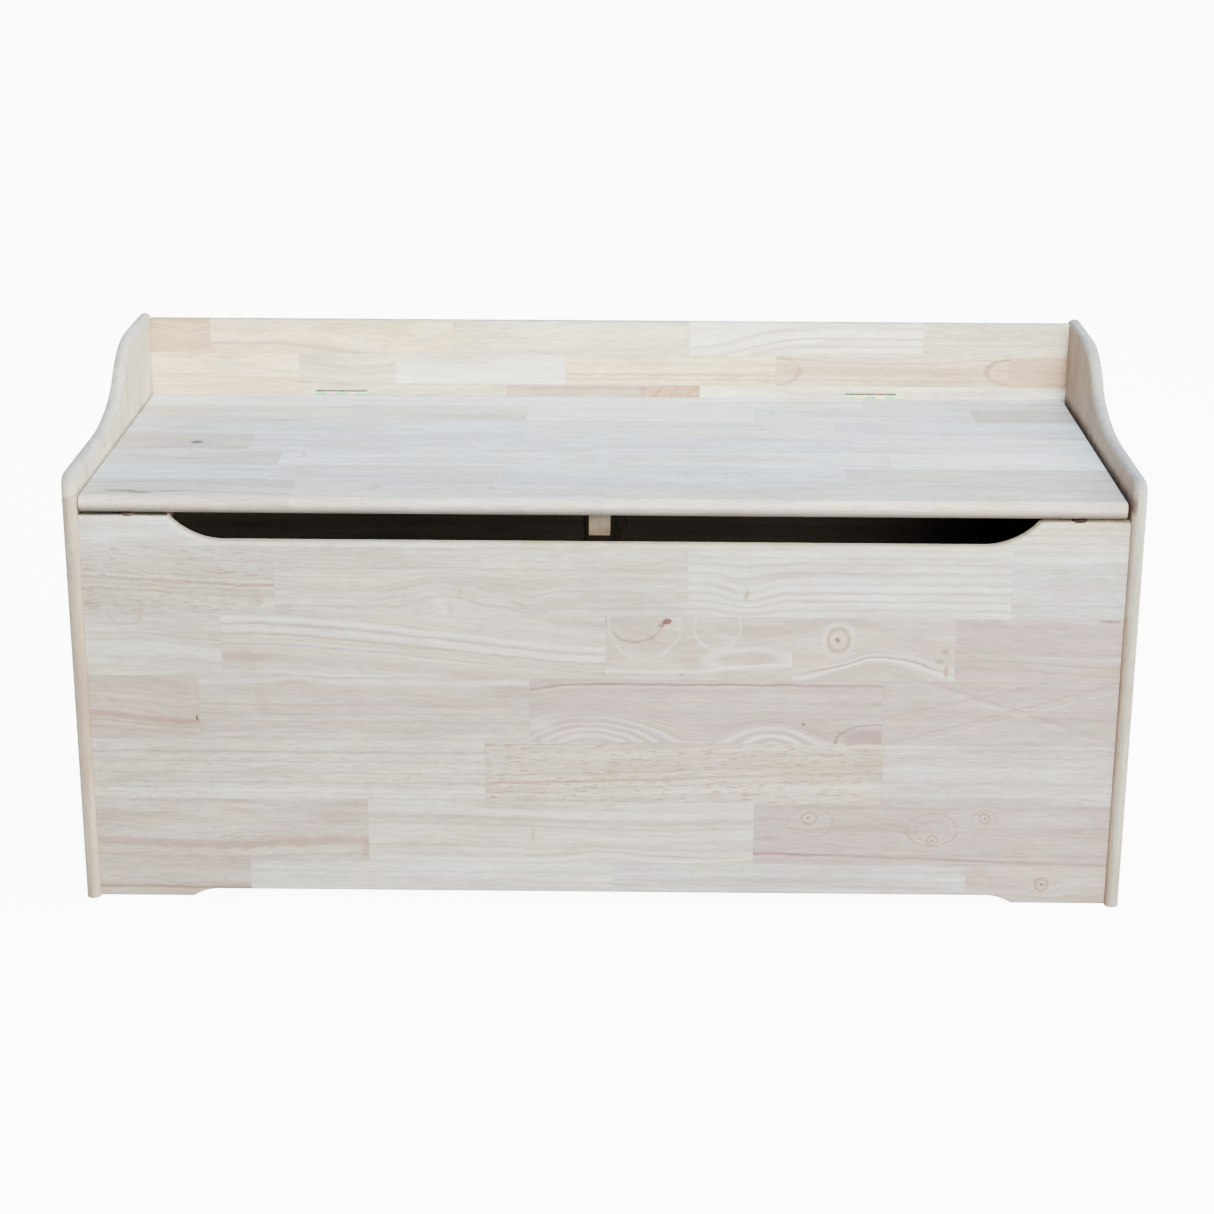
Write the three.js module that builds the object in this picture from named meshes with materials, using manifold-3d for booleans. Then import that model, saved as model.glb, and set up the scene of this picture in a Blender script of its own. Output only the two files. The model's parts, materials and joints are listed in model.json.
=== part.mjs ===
// A wooden toy box that doubles as a bench: an edge-glued hardwood chest between two scroll-topped
// side panels, with a hinged lid, a low backrest and a folding friction stay that holds the lid open.
// Millimetres, +X to the right, +Y to the back, +Z up. The origin is on the floor, under the middle.
import * as THREE from "three";
import { mergeVertices } from "three/addons/utils/BufferGeometryUtils.js";
import Module from "manifold-3d";

const wasm = await Module();
wasm.setup();

// ---- Driving dimensions. Inside the assembly group, Y is measured back from the sides' front edge.
const WIDTH = 1118;
const DEPTH = 465;
const SIDE_HEIGHT = 546;
const SIDE_T = 15;
const BOARD_T = 15;
const LID_T = 18;
const LID_TOP = 452;
const BACKREST_TOP = 542;
const GLUE = 0.25; // the gap left at a glued or resting face
const CLEARANCE = 0.3; // around a piece that lies in a groove or a drilled hole

const INNER = WIDTH / 2 - SIDE_T; // half the width between the sides
const BACK = DEPTH - BOARD_T; // the backrest's front face
const FRONT_FACE = 7; // the front panel is set back behind the sides' rounded edges
const FRONT_BACK = FRONT_FACE + BOARD_T;
const LID_BOTTOM = LID_TOP - LID_T;
const FRONT_TOP = LID_BOTTOM - 2;

const ARM_TOP = 477.5; // the low front stretch of a side's top
const SIDE_NOSE = 7; // radius worked on a side's front and top edges
const ARM_CORNER = 18;

const SLOT = { floor: 404, half: 394, radius: 76, lip: 4 };
const TOE = { height: 8.5, half: 415, radius: 50 };
const EASE = 4; // radius on the front panel's edges

const LID = { front: 6, rear: BACK - 1.5, nose: 7, end: 2, halfWidth: INNER - 2.5, shift: -1.25 };
const BATTEN = { x: -4, width: 22, height: 27, front: 30, length: 370, screws: [50, 185, 320] };

const BACKREST_BOTTOM = 392;
const RAIL = { bottom: 8.5, top: 68 };
const PLY_T = 5;
const PLY_Y = BACK + 5; // front face of the back panels
const TONGUE = 6; // how far a back panel reaches into its grooves
const STILE = { x: -2, width: 50 };
const FLOOR = { bottom: 38, top: 43 };
const CLEAT = { width: 20, height: 18 };
const POST = { size: 18, frontTop: 400, rearTop: 430 };

const HINGE_X = { left: -318, right: 312 };
const HINGE = { length: 61, barrel: 2.6, pin: 1.3, bore: 1.45, leaf: 1.5, reach: 19 };
HINGE.y = BACK - 0.75;
HINGE.z = LID_TOP + HINGE.barrel + 0.15;
const KNUCKLES = 5;
const KNUCKLE_GAP = 0.3;
const HINGE_SCREW = { head: 3.1, shank: 1.45, length: 11, spread: 22, drop: 11.5 };

const BUMPER = { x: 492, radius: 8, thickness: 3, sunk: 1.2 };

// The lid stay is a parallelogram: hinge axis, lid pivot, elbow and wall pivot.
const STAY = {
  plate: 2.5,
  reach: [-120, -34.75], // from the hinge axis to the lid pivot, and from the wall pivot to the elbow
  drop: [-45, -85], // from the hinge axis to the wall pivot, and from the lid pivot to the elbow
  bar: 8, // half the width of the bars
  rivet: 3,
  wallPivot: 4,
};
const at = (a, b) => [a[0] + b[0], a[1] + b[1]];
const HINGE_AXIS = [HINGE.y, HINGE.z];
const WALL_PIVOT = at(HINGE_AXIS, STAY.drop);
const LID_PIVOT = at(HINGE_AXIS, STAY.reach);
const ELBOW = at(WALL_PIVOT, STAY.reach);
// Layers of the stay, outwards to the right side panel: each is [inner X, outer X].
const LAYER = {
  base: [INNER - GLUE - STAY.plate, INNER - GLUE],
  outerWasher: [INNER - 4.1, INNER - 3.1],
  arm: [INNER - 6.75, INNER - 4.25],
  innerWasher: [INNER - 8, INNER - 7],
  link: [INNER - 9.75, INNER - 7.25],
  nut: [INNER - 12.75, INNER - 8.25],
};

// ---- Materials.
const finish = (color, roughness, metalness) =>
  new THREE.MeshStandardMaterial({ color, roughness, metalness });
const rubberwood = finish(0xe3dccf, 0.75, 0);
const plywood = finish(0xcdb592, 0.8, 0);
const yellowZinc = finish(0xd9cf86, 0.3, 1);
const brightZinc = finish(0xb9bcc0, 0.35, 1);
const rubber = finish(0x2b221c, 0.85, 0);
const nylon = finish(0xe9e7de, 0.5, 0);

// ---- Solids.
function solidOf(geometry, matrix = new THREE.Matrix4()) {
  const bare = new THREE.BufferGeometry();
  const flat = geometry.index ? geometry.toNonIndexed() : geometry;
  bare.setAttribute("position", flat.getAttribute("position").clone());
  bare.applyMatrix4(matrix);
  const merged = mergeVertices(bare, 1e-3);
  return new wasm.Manifold(
    new wasm.Mesh({
      numProp: 3,
      vertProperties: merged.attributes.position.array,
      triVerts: new Uint32Array(merged.index.array),
    }),
  );
}

function geometryOf(solid) {
  const mesh = solid.getMesh();
  const geometry = new THREE.BufferGeometry();
  geometry.setAttribute("position", new THREE.BufferAttribute(mesh.vertProperties, 3));
  geometry.setIndex(new THREE.BufferAttribute(mesh.triVerts, 1));
  geometry.computeVertexNormals();
  return geometry;
}

const cutAway = (solid, tools) => tools.reduce((left, tool) => left.subtract(tool), solid);
const joined = (solids) => solids.reduce((all, next) => all.add(next));

// A box from its low and high corners, as a solid.
function block(low, high) {
  const size = high.map((value, i) => value - low[i]);
  const middle = high.map((value, i) => (value + low[i]) / 2);
  const place = new THREE.Matrix4().makeTranslation(...middle);
  return solidOf(new THREE.BoxGeometry(...size), place);
}

function cylinderAlongX(radius, fromX, toX, y, z, segments = 24) {
  const geometry = new THREE.CylinderGeometry(radius, radius, toX - fromX, segments);
  geometry.rotateZ(Math.PI / 2);
  return solidOf(geometry, new THREE.Matrix4().makeTranslation((fromX + toX) / 2, y, z));
}

// Extrudes a shape drawn in Y and Z along X, or one drawn in X and Z along Y, with rounded edges.
const ALONG_X = new THREE.Matrix4().makeBasis(
  new THREE.Vector3(0, 1, 0),
  new THREE.Vector3(0, 0, 1),
  new THREE.Vector3(1, 0, 0),
);
const ALONG_Y = new THREE.Matrix4().makeBasis(
  new THREE.Vector3(1, 0, 0),
  new THREE.Vector3(0, 0, 1),
  new THREE.Vector3(0, -1, 0),
);

function extruded(shape, thickness, radius, steps, curveSegments = 12) {
  const geometry = new THREE.ExtrudeGeometry(shape, {
    depth: thickness - 2 * radius,
    bevelEnabled: radius > 0,
    bevelThickness: radius,
    bevelSize: radius,
    bevelOffset: -radius,
    bevelSegments: steps,
    curveSegments,
  });
  return geometry.translate(0, 0, radius);
}

function extrudedAlongX(shape, fromX, thickness, radius, steps, curveSegments) {
  const place = new THREE.Matrix4().makeTranslation(fromX, 0, 0).multiply(ALONG_X);
  return solidOf(extruded(shape, thickness, radius, steps, curveSegments), place);
}

function extrudedAlongY(shape, fromY, thickness, radius, steps, curveSegments) {
  const place = new THREE.Matrix4().makeTranslation(0, fromY + thickness, 0).multiply(ALONG_Y);
  return solidOf(extruded(shape, thickness, radius, steps, curveSegments), place);
}

function named(name, geometry, material) {
  const mesh = new THREE.Mesh(geometry, material);
  mesh.name = name;
  return mesh;
}

// A plain sawn piece, placed by its low corner.
function plank(name, low, size, material = rubberwood) {
  const mesh = named(name, new THREE.BoxGeometry(...size), material);
  mesh.position.set(...low.map((value, i) => value + size[i] / 2));
  return mesh;
}

// ---- Screws. A profile is drawn upwards with the head on top at height 0, and turned about Y.
const DOWN = new THREE.Vector3(0, -1, 0);

function screwProfile({ head, shank, length }, extra = 0) {
  const slope = head - shank;
  return [
    [0, -length - extra],
    [shank + extra, -length + 2.5 * shank - extra],
    [shank + extra, -slope],
    [head + extra, 0],
    [0, 0],
  ].map(([radius, height]) => new THREE.Vector2(radius, height));
}

function screw(name, size, place, direction, material = yellowZinc) {
  const mesh = named(name, new THREE.LatheGeometry(screwProfile(size), 12), material);
  mesh.position.set(...place);
  mesh.quaternion.setFromUnitVectors(DOWN, new THREE.Vector3(...direction));
  return mesh;
}

// The hole for a screw: its own shape with clearance, and a mouth that stands out of the surface.
function screwHole(size, place, direction) {
  const profile = screwProfile(size, CLEARANCE);
  profile.splice(-1, 1, new THREE.Vector2(size.head + CLEARANCE, 1), new THREE.Vector2(0, 1));
  const matrix = new THREE.Matrix4().compose(
    new THREE.Vector3(...place),
    new THREE.Quaternion().setFromUnitVectors(DOWN, new THREE.Vector3(...direction)),
    new THREE.Vector3(1, 1, 1),
  );
  return solidOf(new THREE.LatheGeometry(profile, 12), matrix);
}

// ---- Side panels: a low arm in front, and an S-curve up to the backrest.
function sideOutline() {
  const below = -20;
  const behind = DEPTH + 20;
  const shape = new THREE.Shape();
  shape.moveTo(0, below);
  shape.lineTo(behind, below);
  shape.lineTo(behind, SIDE_HEIGHT);
  shape.lineTo(372, SIDE_HEIGHT);
  shape.bezierCurveTo(338, SIDE_HEIGHT, 309, 536, 284, 511);
  shape.bezierCurveTo(262, 489, 205, ARM_TOP, 150, ARM_TOP);
  shape.lineTo(ARM_CORNER, ARM_TOP);
  shape.absarc(ARM_CORNER, ARM_TOP - ARM_CORNER, ARM_CORNER, Math.PI / 2, Math.PI, false);
  return shape;
}

function side(name, sign) {
  const low = sign < 0 ? -WIDTH / 2 : INNER;
  const whole = extrudedAlongX(sideOutline(), low, SIDE_T, SIDE_NOSE, 4, 14);
  const trimmed = whole.intersect(block([low - 1, -1, 0], [low + SIDE_T + 1, DEPTH, SIDE_HEIGHT + 1]));
  const face = sign * INNER;
  const deep = sign * (INNER + TONGUE + CLEARANCE);
  const groove = block(
    [Math.min(face - sign, deep), PLY_Y - CLEARANCE, RAIL.top - TONGUE - CLEARANCE],
    [Math.max(face - sign, deep), PLY_Y + PLY_T + CLEARANCE, BACKREST_BOTTOM + TONGUE + CLEARANCE],
  );
  return trimmed.subtract(groove);
}

function sidePanels() {
  const left = side("side_left", -1);
  const right = cutAway(side("side_right", 1), stayBaseScrews().map(({ hole }) => hole));
  return [
    named("side_left", geometryOf(left), rubberwood),
    named("side_right", geometryOf(right), rubberwood),
  ];
}

// ---- Front panel: a long hand slot under the lid, and a shallow toe gap at the floor.
function frontOutline() {
  const end = INNER + 20;
  const right = Math.PI / 2;
  const slotCentre = SLOT.floor + SLOT.radius;
  const slotTurn = Math.acos((slotCentre - FRONT_TOP) / SLOT.radius);
  const slotTop = SLOT.half + SLOT.radius * Math.sin(slotTurn);
  const lipTurn = slotTurn - SLOT.lip / SLOT.radius;
  const lipX = SLOT.half + SLOT.radius * Math.sin(lipTurn);
  const lipZ = slotCentre - SLOT.radius * Math.cos(lipTurn);
  const toeCentre = TOE.height - TOE.radius;
  const toeTurn = Math.acos(-toeCentre / TOE.radius);
  const toeFoot = TOE.half + TOE.radius * Math.sin(toeTurn);
  const shape = new THREE.Shape();
  shape.moveTo(-end, 0);
  shape.lineTo(-toeFoot, 0);
  shape.absarc(-TOE.half, toeCentre, TOE.radius, right + toeTurn, right, true);
  shape.absarc(TOE.half, toeCentre, TOE.radius, right, right - toeTurn, true);
  shape.lineTo(end, 0);
  shape.lineTo(end, FRONT_TOP);
  shape.lineTo(slotTop + SLOT.lip, FRONT_TOP);
  shape.quadraticCurveTo(slotTop, FRONT_TOP, lipX, lipZ);
  shape.absarc(SLOT.half, slotCentre, SLOT.radius, lipTurn - right, -right, true);
  shape.absarc(-SLOT.half, slotCentre, SLOT.radius, -right, -right - lipTurn, true);
  shape.quadraticCurveTo(-slotTop, FRONT_TOP, -slotTop - SLOT.lip, FRONT_TOP);
  shape.lineTo(-end, FRONT_TOP);
  return shape;
}

function bumperSeat(x) {
  const geometry = new THREE.CylinderGeometry(
    BUMPER.radius + CLEARANCE,
    BUMPER.radius + CLEARANCE,
    BUMPER.sunk + 2,
    32,
  );
  geometry.rotateX(Math.PI / 2);
  const y = FRONT_FACE + BOARD_T / 2;
  const z = FRONT_TOP + 1 - BUMPER.sunk / 2;
  return solidOf(geometry, new THREE.Matrix4().makeTranslation(x, y, z));
}

function frontPanel() {
  const whole = extrudedAlongY(frontOutline(), FRONT_FACE, BOARD_T, EASE, 3, 10);
  const end = INNER - GLUE;
  const trimmed = whole.intersect(block([-end, 0, -1], [end, 30, FRONT_TOP + 1]));
  const cut = cutAway(trimmed, [bumperSeat(-BUMPER.x), bumperSeat(BUMPER.x)]);
  return named("front_panel", geometryOf(cut), rubberwood);
}

function bumper(name, x) {
  const profile = [
    [0, 0],
    [BUMPER.radius, 0],
    [BUMPER.radius, BUMPER.thickness - 0.8],
    [BUMPER.radius - 0.8, BUMPER.thickness],
    [0, BUMPER.thickness],
  ].map(([radius, height]) => new THREE.Vector2(radius, height));
  const mesh = named(name, new THREE.LatheGeometry(profile, 28), rubber);
  mesh.rotation.x = Math.PI / 2;
  mesh.position.set(x, FRONT_FACE + BOARD_T / 2, FRONT_TOP - BUMPER.sunk + 0.05);
  return mesh;
}

// ---- Hinges: narrow butt hinges, let into the backrest and the lid's rear edge.
const hingeScrewSpots = (x) => [-1, 0, 1].map((step) => x + step * HINGE_SCREW.spread);
// 1 is the backrest's leaf and points back, -1 is the lid's leaf and points forward.
const leafFace = (way) => HINGE.y + way * (HINGE.barrel - HINGE.leaf);

function mortise(x, way) {
  const half = HINGE.length / 2 + CLEARANCE;
  const deep = HINGE.y + way * (HINGE.barrel + CLEARANCE);
  const top = way > 0 ? HINGE.z + HINGE.barrel + CLEARANCE : LID_TOP + 1;
  const low = [x - half, Math.min(HINGE.y, deep), HINGE.z - HINGE.reach - CLEARANCE];
  return block(low, [x + half, Math.max(HINGE.y, deep), top]);
}

const hingeScrewPlace = (x, way) => [x, leafFace(way), HINGE.z - HINGE_SCREW.drop];

function hingeCuts(x, way) {
  const holes = hingeScrewSpots(x).map((spot) =>
    screwHole(HINGE_SCREW, hingeScrewPlace(spot, way), [0, way, 0]),
  );
  return [mortise(x, way), ...holes];
}

// The backrest's leaf has the knuckles 0, 2 and 4, and the lid's leaf has 1 and 3.
function hingeLeaf(name, x, way) {
  const start = x - HINGE.length / 2;
  const pitch = HINGE.length / KNUCKLES;
  const faces = [leafFace(way), HINGE.y + way * HINGE.barrel].sort((a, b) => a - b);
  const plateTop = HINGE.z - HINGE.barrel - CLEARANCE;
  const plate = block(
    [start, faces[0], HINGE.z - HINGE.reach],
    [start + HINGE.length, faces[1], plateTop],
  );
  const pieces = [plate];
  for (let i = way > 0 ? 0 : 1; i < KNUCKLES; i += 2) {
    const from = start + i * pitch + (i > 0 ? KNUCKLE_GAP / 2 : 0);
    const to = start + (i + 1) * pitch - (i < KNUCKLES - 1 ? KNUCKLE_GAP / 2 : 0);
    pieces.push(cylinderAlongX(HINGE.barrel, from, to, HINGE.y, HINGE.z));
    pieces.push(block([from, faces[0], plateTop - 0.5], [to, faces[1], HINGE.z]));
  }
  const bore = cylinderAlongX(HINGE.bore, start - 1, start + HINGE.length + 1, HINGE.y, HINGE.z, 16);
  const holes = hingeScrewSpots(x).map((spot) =>
    screwHole(HINGE_SCREW, hingeScrewPlace(spot, way), [0, way, 0]),
  );
  return named(name, geometryOf(cutAway(joined(pieces), [bore, ...holes])), yellowZinc);
}

function hingePin(name, x) {
  const geometry = new THREE.CylinderGeometry(HINGE.pin, HINGE.pin, HINGE.length, 16);
  geometry.rotateZ(Math.PI / 2);
  const mesh = named(name, geometry, yellowZinc);
  mesh.position.set(x, HINGE.y, HINGE.z);
  return mesh;
}

function hinge(hand, x) {
  const screws = [];
  for (const [part, way] of [["backrest", 1], ["lid", -1]]) {
    hingeScrewSpots(x).forEach((spot, i) => {
      const name = `hinge_${hand}_${part}_screw_${i + 1}`;
      screws.push(screw(name, HINGE_SCREW, hingeScrewPlace(spot, way), [0, way, 0]));
    });
  }
  return [
    hingeLeaf(`hinge_${hand}_backrest_leaf`, x, 1),
    hingeLeaf(`hinge_${hand}_lid_leaf`, x, -1),
    hingePin(`hinge_${hand}_pin`, x),
    ...screws,
  ];
}

// ---- Backrest and the framed back below it.
function backrest() {
  const end = INNER - GLUE;
  const shape = new THREE.Shape();
  shape.moveTo(-end - 20, BACKREST_BOTTOM - 20);
  shape.lineTo(end + 20, BACKREST_BOTTOM - 20);
  shape.lineTo(end + 20, BACKREST_TOP);
  shape.lineTo(-end - 20, BACKREST_TOP);
  const whole = extrudedAlongY(shape, BACK, BOARD_T, 4, 3);
  const bounds = block([-end, BACK - 1, BACKREST_BOTTOM], [end, DEPTH + 1, BACKREST_TOP + 1]);
  const groove = block(
    [-end - 1, PLY_Y - CLEARANCE, BACKREST_BOTTOM - 1],
    [end + 1, PLY_Y + PLY_T + CLEARANCE, BACKREST_BOTTOM + TONGUE + CLEARANCE],
  );
  const cuts = [groove, ...Object.values(HINGE_X).flatMap((x) => hingeCuts(x, 1))];
  return named("backrest", geometryOf(cutAway(whole.intersect(bounds), cuts)), rubberwood);
}

function lowerBackRail() {
  const end = INNER - GLUE;
  const board = block([-end, BACK, RAIL.bottom], [end, DEPTH, RAIL.top]);
  const groove = block(
    [-end - 1, PLY_Y - CLEARANCE, RAIL.top - TONGUE - CLEARANCE],
    [end + 1, PLY_Y + PLY_T + CLEARANCE, RAIL.top + 1],
  );
  return named("lower_back_rail", geometryOf(board.subtract(groove)), rubberwood);
}

function backStile() {
  const half = STILE.width / 2;
  const low = RAIL.top + GLUE;
  const high = BACKREST_BOTTOM - GLUE;
  const board = block([STILE.x - half, BACK, low], [STILE.x + half, DEPTH, high]);
  const grooves = [-1, 1].map((sign) => {
    const inner = STILE.x + sign * (half - TONGUE - CLEARANCE);
    const outer = STILE.x + sign * (half + 1);
    return block(
      [Math.min(inner, outer), PLY_Y - CLEARANCE, low - 1],
      [Math.max(inner, outer), PLY_Y + PLY_T + CLEARANCE, high + 1],
    );
  });
  return named("back_stile", geometryOf(cutAway(board, grooves)), rubberwood);
}

function backPanel(name, sign) {
  const inner = STILE.x + sign * (STILE.width / 2 - TONGUE);
  const outer = sign * (INNER + TONGUE);
  const low = RAIL.top - TONGUE;
  const size = [Math.abs(outer - inner), PLY_T, BACKREST_BOTTOM + TONGUE - low];
  return plank(name, [Math.min(inner, outer), PLY_Y, low], size, plywood);
}

// ---- Floor of the chest, on four cleats, and the corner posts that tie the panels together.
function floorAndCleats() {
  const half = INNER - GLUE;
  const front = FRONT_BACK + GLUE;
  const back = BACK - GLUE;
  const low = FLOOR.bottom - GLUE - CLEAT.height;
  const { width, height } = CLEAT;
  const reach = back - front - 2 * width - 2 * GLUE;
  const boardSize = [2 * half, back - front, FLOOR.top - FLOOR.bottom];
  return [
    plank("bottom_panel", [-half, front, FLOOR.bottom], boardSize, plywood),
    plank("cleat_front", [-half, front, low], [2 * half, width, height]),
    plank("cleat_rear", [-half, back - width, low], [2 * half, width, height]),
    plank("cleat_left", [-half, front + width + GLUE, low], [width, reach, height]),
    plank("cleat_right", [half - width, front + width + GLUE, low], [width, reach, height]),
  ];
}

function cornerPosts() {
  const bottom = FLOOR.top + GLUE;
  const left = -INNER + GLUE;
  const right = INNER - GLUE - POST.size;
  const front = FRONT_BACK + GLUE;
  const back = BACK - GLUE - POST.size;
  const frontSize = [POST.size, POST.size, POST.frontTop - bottom];
  const rearSize = [POST.size, POST.size, POST.rearTop - bottom];
  return [
    plank("post_front_left", [left, front, bottom], frontSize),
    plank("post_front_right", [right, front, bottom], frontSize),
    plank("post_rear_left", [left, back, bottom], rearSize),
    plank("post_rear_right", [right, back, bottom], rearSize),
  ];
}

// ---- Lid.
function lidOutline() {
  const { front, rear, nose } = LID;
  const shape = new THREE.Shape();
  shape.moveTo(front + nose, LID_BOTTOM);
  shape.lineTo(rear, LID_BOTTOM);
  shape.lineTo(rear, LID_TOP - 3);
  shape.quadraticCurveTo(rear, LID_TOP, rear - 3, LID_TOP);
  shape.lineTo(front + nose, LID_TOP);
  shape.absarc(front + nose, LID_TOP - nose, nose, Math.PI / 2, Math.PI, false);
  shape.absarc(front + nose, LID_BOTTOM + nose, nose, Math.PI, (3 * Math.PI) / 2, false);
  return shape;
}

const BATTEN_SCREW = { head: 4, shank: 1.75, length: 36 };
const battenScrewPlaces = () =>
  BATTEN.screws.map((along) => [BATTEN.x, BATTEN.front + along, LID_BOTTOM - GLUE - BATTEN.height]);

function lidPanel() {
  const low = LID.shift - LID.halfWidth;
  const whole = extrudedAlongX(lidOutline(), low, 2 * LID.halfWidth, LID.end, 2, 6);
  const cuts = [
    ...Object.values(HINGE_X).flatMap((x) => hingeCuts(x, -1)),
    ...battenScrewPlaces().map((place) => screwHole(BATTEN_SCREW, place, [0, 0, 1])),
    ...stayBracketScrews().map(({ hole }) => hole),
  ];
  return named("lid_panel", geometryOf(cutAway(whole, cuts)), rubberwood);
}

function lidBatten() {
  const { x, width, height, front, length } = BATTEN;
  const top = LID_BOTTOM - GLUE;
  const bar = block(
    [x - width / 2, front, top - height],
    [x + width / 2, front + length, top],
  );
  const holes = battenScrewPlaces().map((place) => screwHole(BATTEN_SCREW, place, [0, 0, 1]));
  return named("lid_batten", geometryOf(cutAway(bar, holes)), rubberwood);
}

function lid() {
  const screws = battenScrewPlaces().map((place, i) =>
    screw(`batten_screw_${i + 1}`, BATTEN_SCREW, place, [0, 0, 1]),
  );
  return [lidPanel(), lidBatten(), ...screws];
}

// ---- Lid stay, on the right side panel.
// A flat bar with round ends between two points in Y and Z, as a shape.
function barOutline(from, to, half) {
  const along = Math.atan2(to[1] - from[1], to[0] - from[0]);
  const shape = new THREE.Shape();
  shape.absarc(from[0], from[1], half, along + Math.PI / 2, along - Math.PI / 2 + 2 * Math.PI, false);
  shape.absarc(to[0], to[1], half, along - Math.PI / 2, along + Math.PI / 2, false);
  return shape;
}

const hole = (radius, [innerX, outerX], [y, z]) =>
  cylinderAlongX(radius, innerX - 1, outerX + 1, y, z, 24);

function flatBar(name, layer, from, to, radii) {
  const bar = extrudedAlongX(barOutline(from, to, STAY.bar), layer[0], STAY.plate, 0.5, 1, 10);
  const holes = [hole(radii[0], layer, from), hole(radii[1], layer, to)];
  return named(name, geometryOf(cutAway(bar, holes)), brightZinc);
}

const BASE_SCREW = { head: 4, shank: 1.75, length: 13 };
const BASE = { half: 17, tail: -42, spots: [[0, -30], [0, -46], [0, 13]] };
function stayBaseScrews() {
  return BASE.spots.map(([dy, dz]) => {
    const place = [LAYER.base[0], WALL_PIVOT[0] + dy, WALL_PIVOT[1] + dz];
    return { place, hole: screwHole(BASE_SCREW, place, [1, 0, 0]) };
  });
}

function stayBase() {
  const tail = at(WALL_PIVOT, [0, BASE.tail]);
  const plate = extrudedAlongX(barOutline(WALL_PIVOT, tail, BASE.half), LAYER.base[0], STAY.plate, 0.5, 1);
  const cuts = stayBaseScrews().map((spot) => spot.hole);
  cuts.push(hole(STAY.wallPivot + 0.15, LAYER.base, WALL_PIVOT));
  return named("stay_base_plate", geometryOf(cutAway(plate, cuts)), brightZinc);
}

// A round pin along X with a wider head at its inner end, and a collar or rivet head at the other.
function pin(name, radius, headRadius, innerX, outerX, headT, [y, z], footRadius, footT) {
  const pieces = [
    cylinderAlongX(radius, innerX, outerX, y, z, 20),
    cylinderAlongX(headRadius, innerX - headT, innerX + 0.01, y, z, 20),
    cylinderAlongX(footRadius, outerX - 0.01, outerX + footT, y, z, 20),
  ];
  return named(name, geometryOf(joined(pieces)), brightZinc);
}

// The stud that the arm turns on is riveted flush into the base plate.
function stud() {
  const [inner, outer] = [LAYER.nut[0] - 0.5, LAYER.base[1] - 0.05];
  const bar = cylinderAlongX(STAY.wallPivot, inner, outer, ...WALL_PIVOT, 20);
  return named("stay_stud", geometryOf(bar), brightZinc);
}

function washer(name, layer) {
  const ring = cylinderAlongX(11, layer[0], layer[1], ...WALL_PIVOT, 28);
  return named(name, geometryOf(ring.subtract(hole(STAY.wallPivot + 0.15, layer, WALL_PIVOT))), nylon);
}

function lockNut() {
  const hex = cylinderAlongX(7.5, LAYER.nut[0], LAYER.nut[1], ...WALL_PIVOT, 6);
  const bore = hole(STAY.wallPivot + 0.15, LAYER.nut, WALL_PIVOT);
  return named("stay_lock_nut", geometryOf(hex.subtract(bore)), brightZinc);
}

// The bracket's ear hangs from the lid, in the arm's layer, and its foot lies under the lid.
const BRACKET = { half: 12, foot: 22, top: LID_BOTTOM - GLUE };
const BRACKET_SCREW = { head: 4, shank: 1.75, length: 13 };
function stayBracketScrews() {
  return [-1, 1].map((step) => {
    const x = LAYER.arm[0] - BRACKET.foot / 2;
    const place = [x, LID_PIVOT[0] + step * 6.5, BRACKET.top - STAY.plate];
    return { place, hole: screwHole(BRACKET_SCREW, place, [0, 0, 1]) };
  });
}

function stayBracket() {
  const [y, z] = LID_PIVOT;
  const { half, foot, top } = BRACKET;
  const ear = new THREE.Shape();
  ear.moveTo(y + half, top);
  ear.lineTo(y - half, top);
  ear.lineTo(y - STAY.bar, z);
  ear.absarc(y, z, STAY.bar, Math.PI, 2 * Math.PI, false);
  const plate = extrudedAlongX(ear, LAYER.arm[0], STAY.plate, 0, 1, 10);
  const flange = block([LAYER.arm[0] - foot, y - half, top - STAY.plate], [LAYER.arm[1], y + half, top]);
  const cuts = stayBracketScrews().map((spot) => spot.hole);
  cuts.push(hole(STAY.rivet + 0.15, LAYER.arm, LID_PIVOT));
  return named("stay_lid_bracket", geometryOf(cutAway(plate.add(flange), cuts)), brightZinc);
}

function lidStay() {
  const wide = STAY.wallPivot + 0.15;
  const fixed = STAY.rivet + 0.15;
  const free = STAY.rivet + 0.3;
  const rivetEnd = [LAYER.link[0] - 0.2, LAYER.arm[1] + 0.2];
  const screws = [
    ...stayBaseScrews().map(({ place }, i) =>
      screw(`stay_base_screw_${i + 1}`, BASE_SCREW, place, [1, 0, 0], brightZinc),
    ),
    ...stayBracketScrews().map(({ place }, i) =>
      screw(`stay_bracket_screw_${i + 1}`, BRACKET_SCREW, place, [0, 0, 1], brightZinc),
    ),
  ];
  return [
    stayBase(),
    stud(),
    washer("stay_outer_washer", LAYER.outerWasher),
    flatBar("stay_arm", LAYER.arm, WALL_PIVOT, ELBOW, [wide, fixed]),
    washer("stay_inner_washer", LAYER.innerWasher),
    lockNut(),
    pin("stay_elbow_rivet", STAY.rivet, 5, ...rivetEnd, 1.6, ELBOW, 5, 1.4),
    flatBar("stay_link", LAYER.link, ELBOW, LID_PIVOT, [fixed, free]),
    pin("stay_lid_rivet", STAY.rivet, 5, ...rivetEnd, 1.6, LID_PIVOT, 5, 1.4),
    stayBracket(),
    ...screws,
  ];
}

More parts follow.
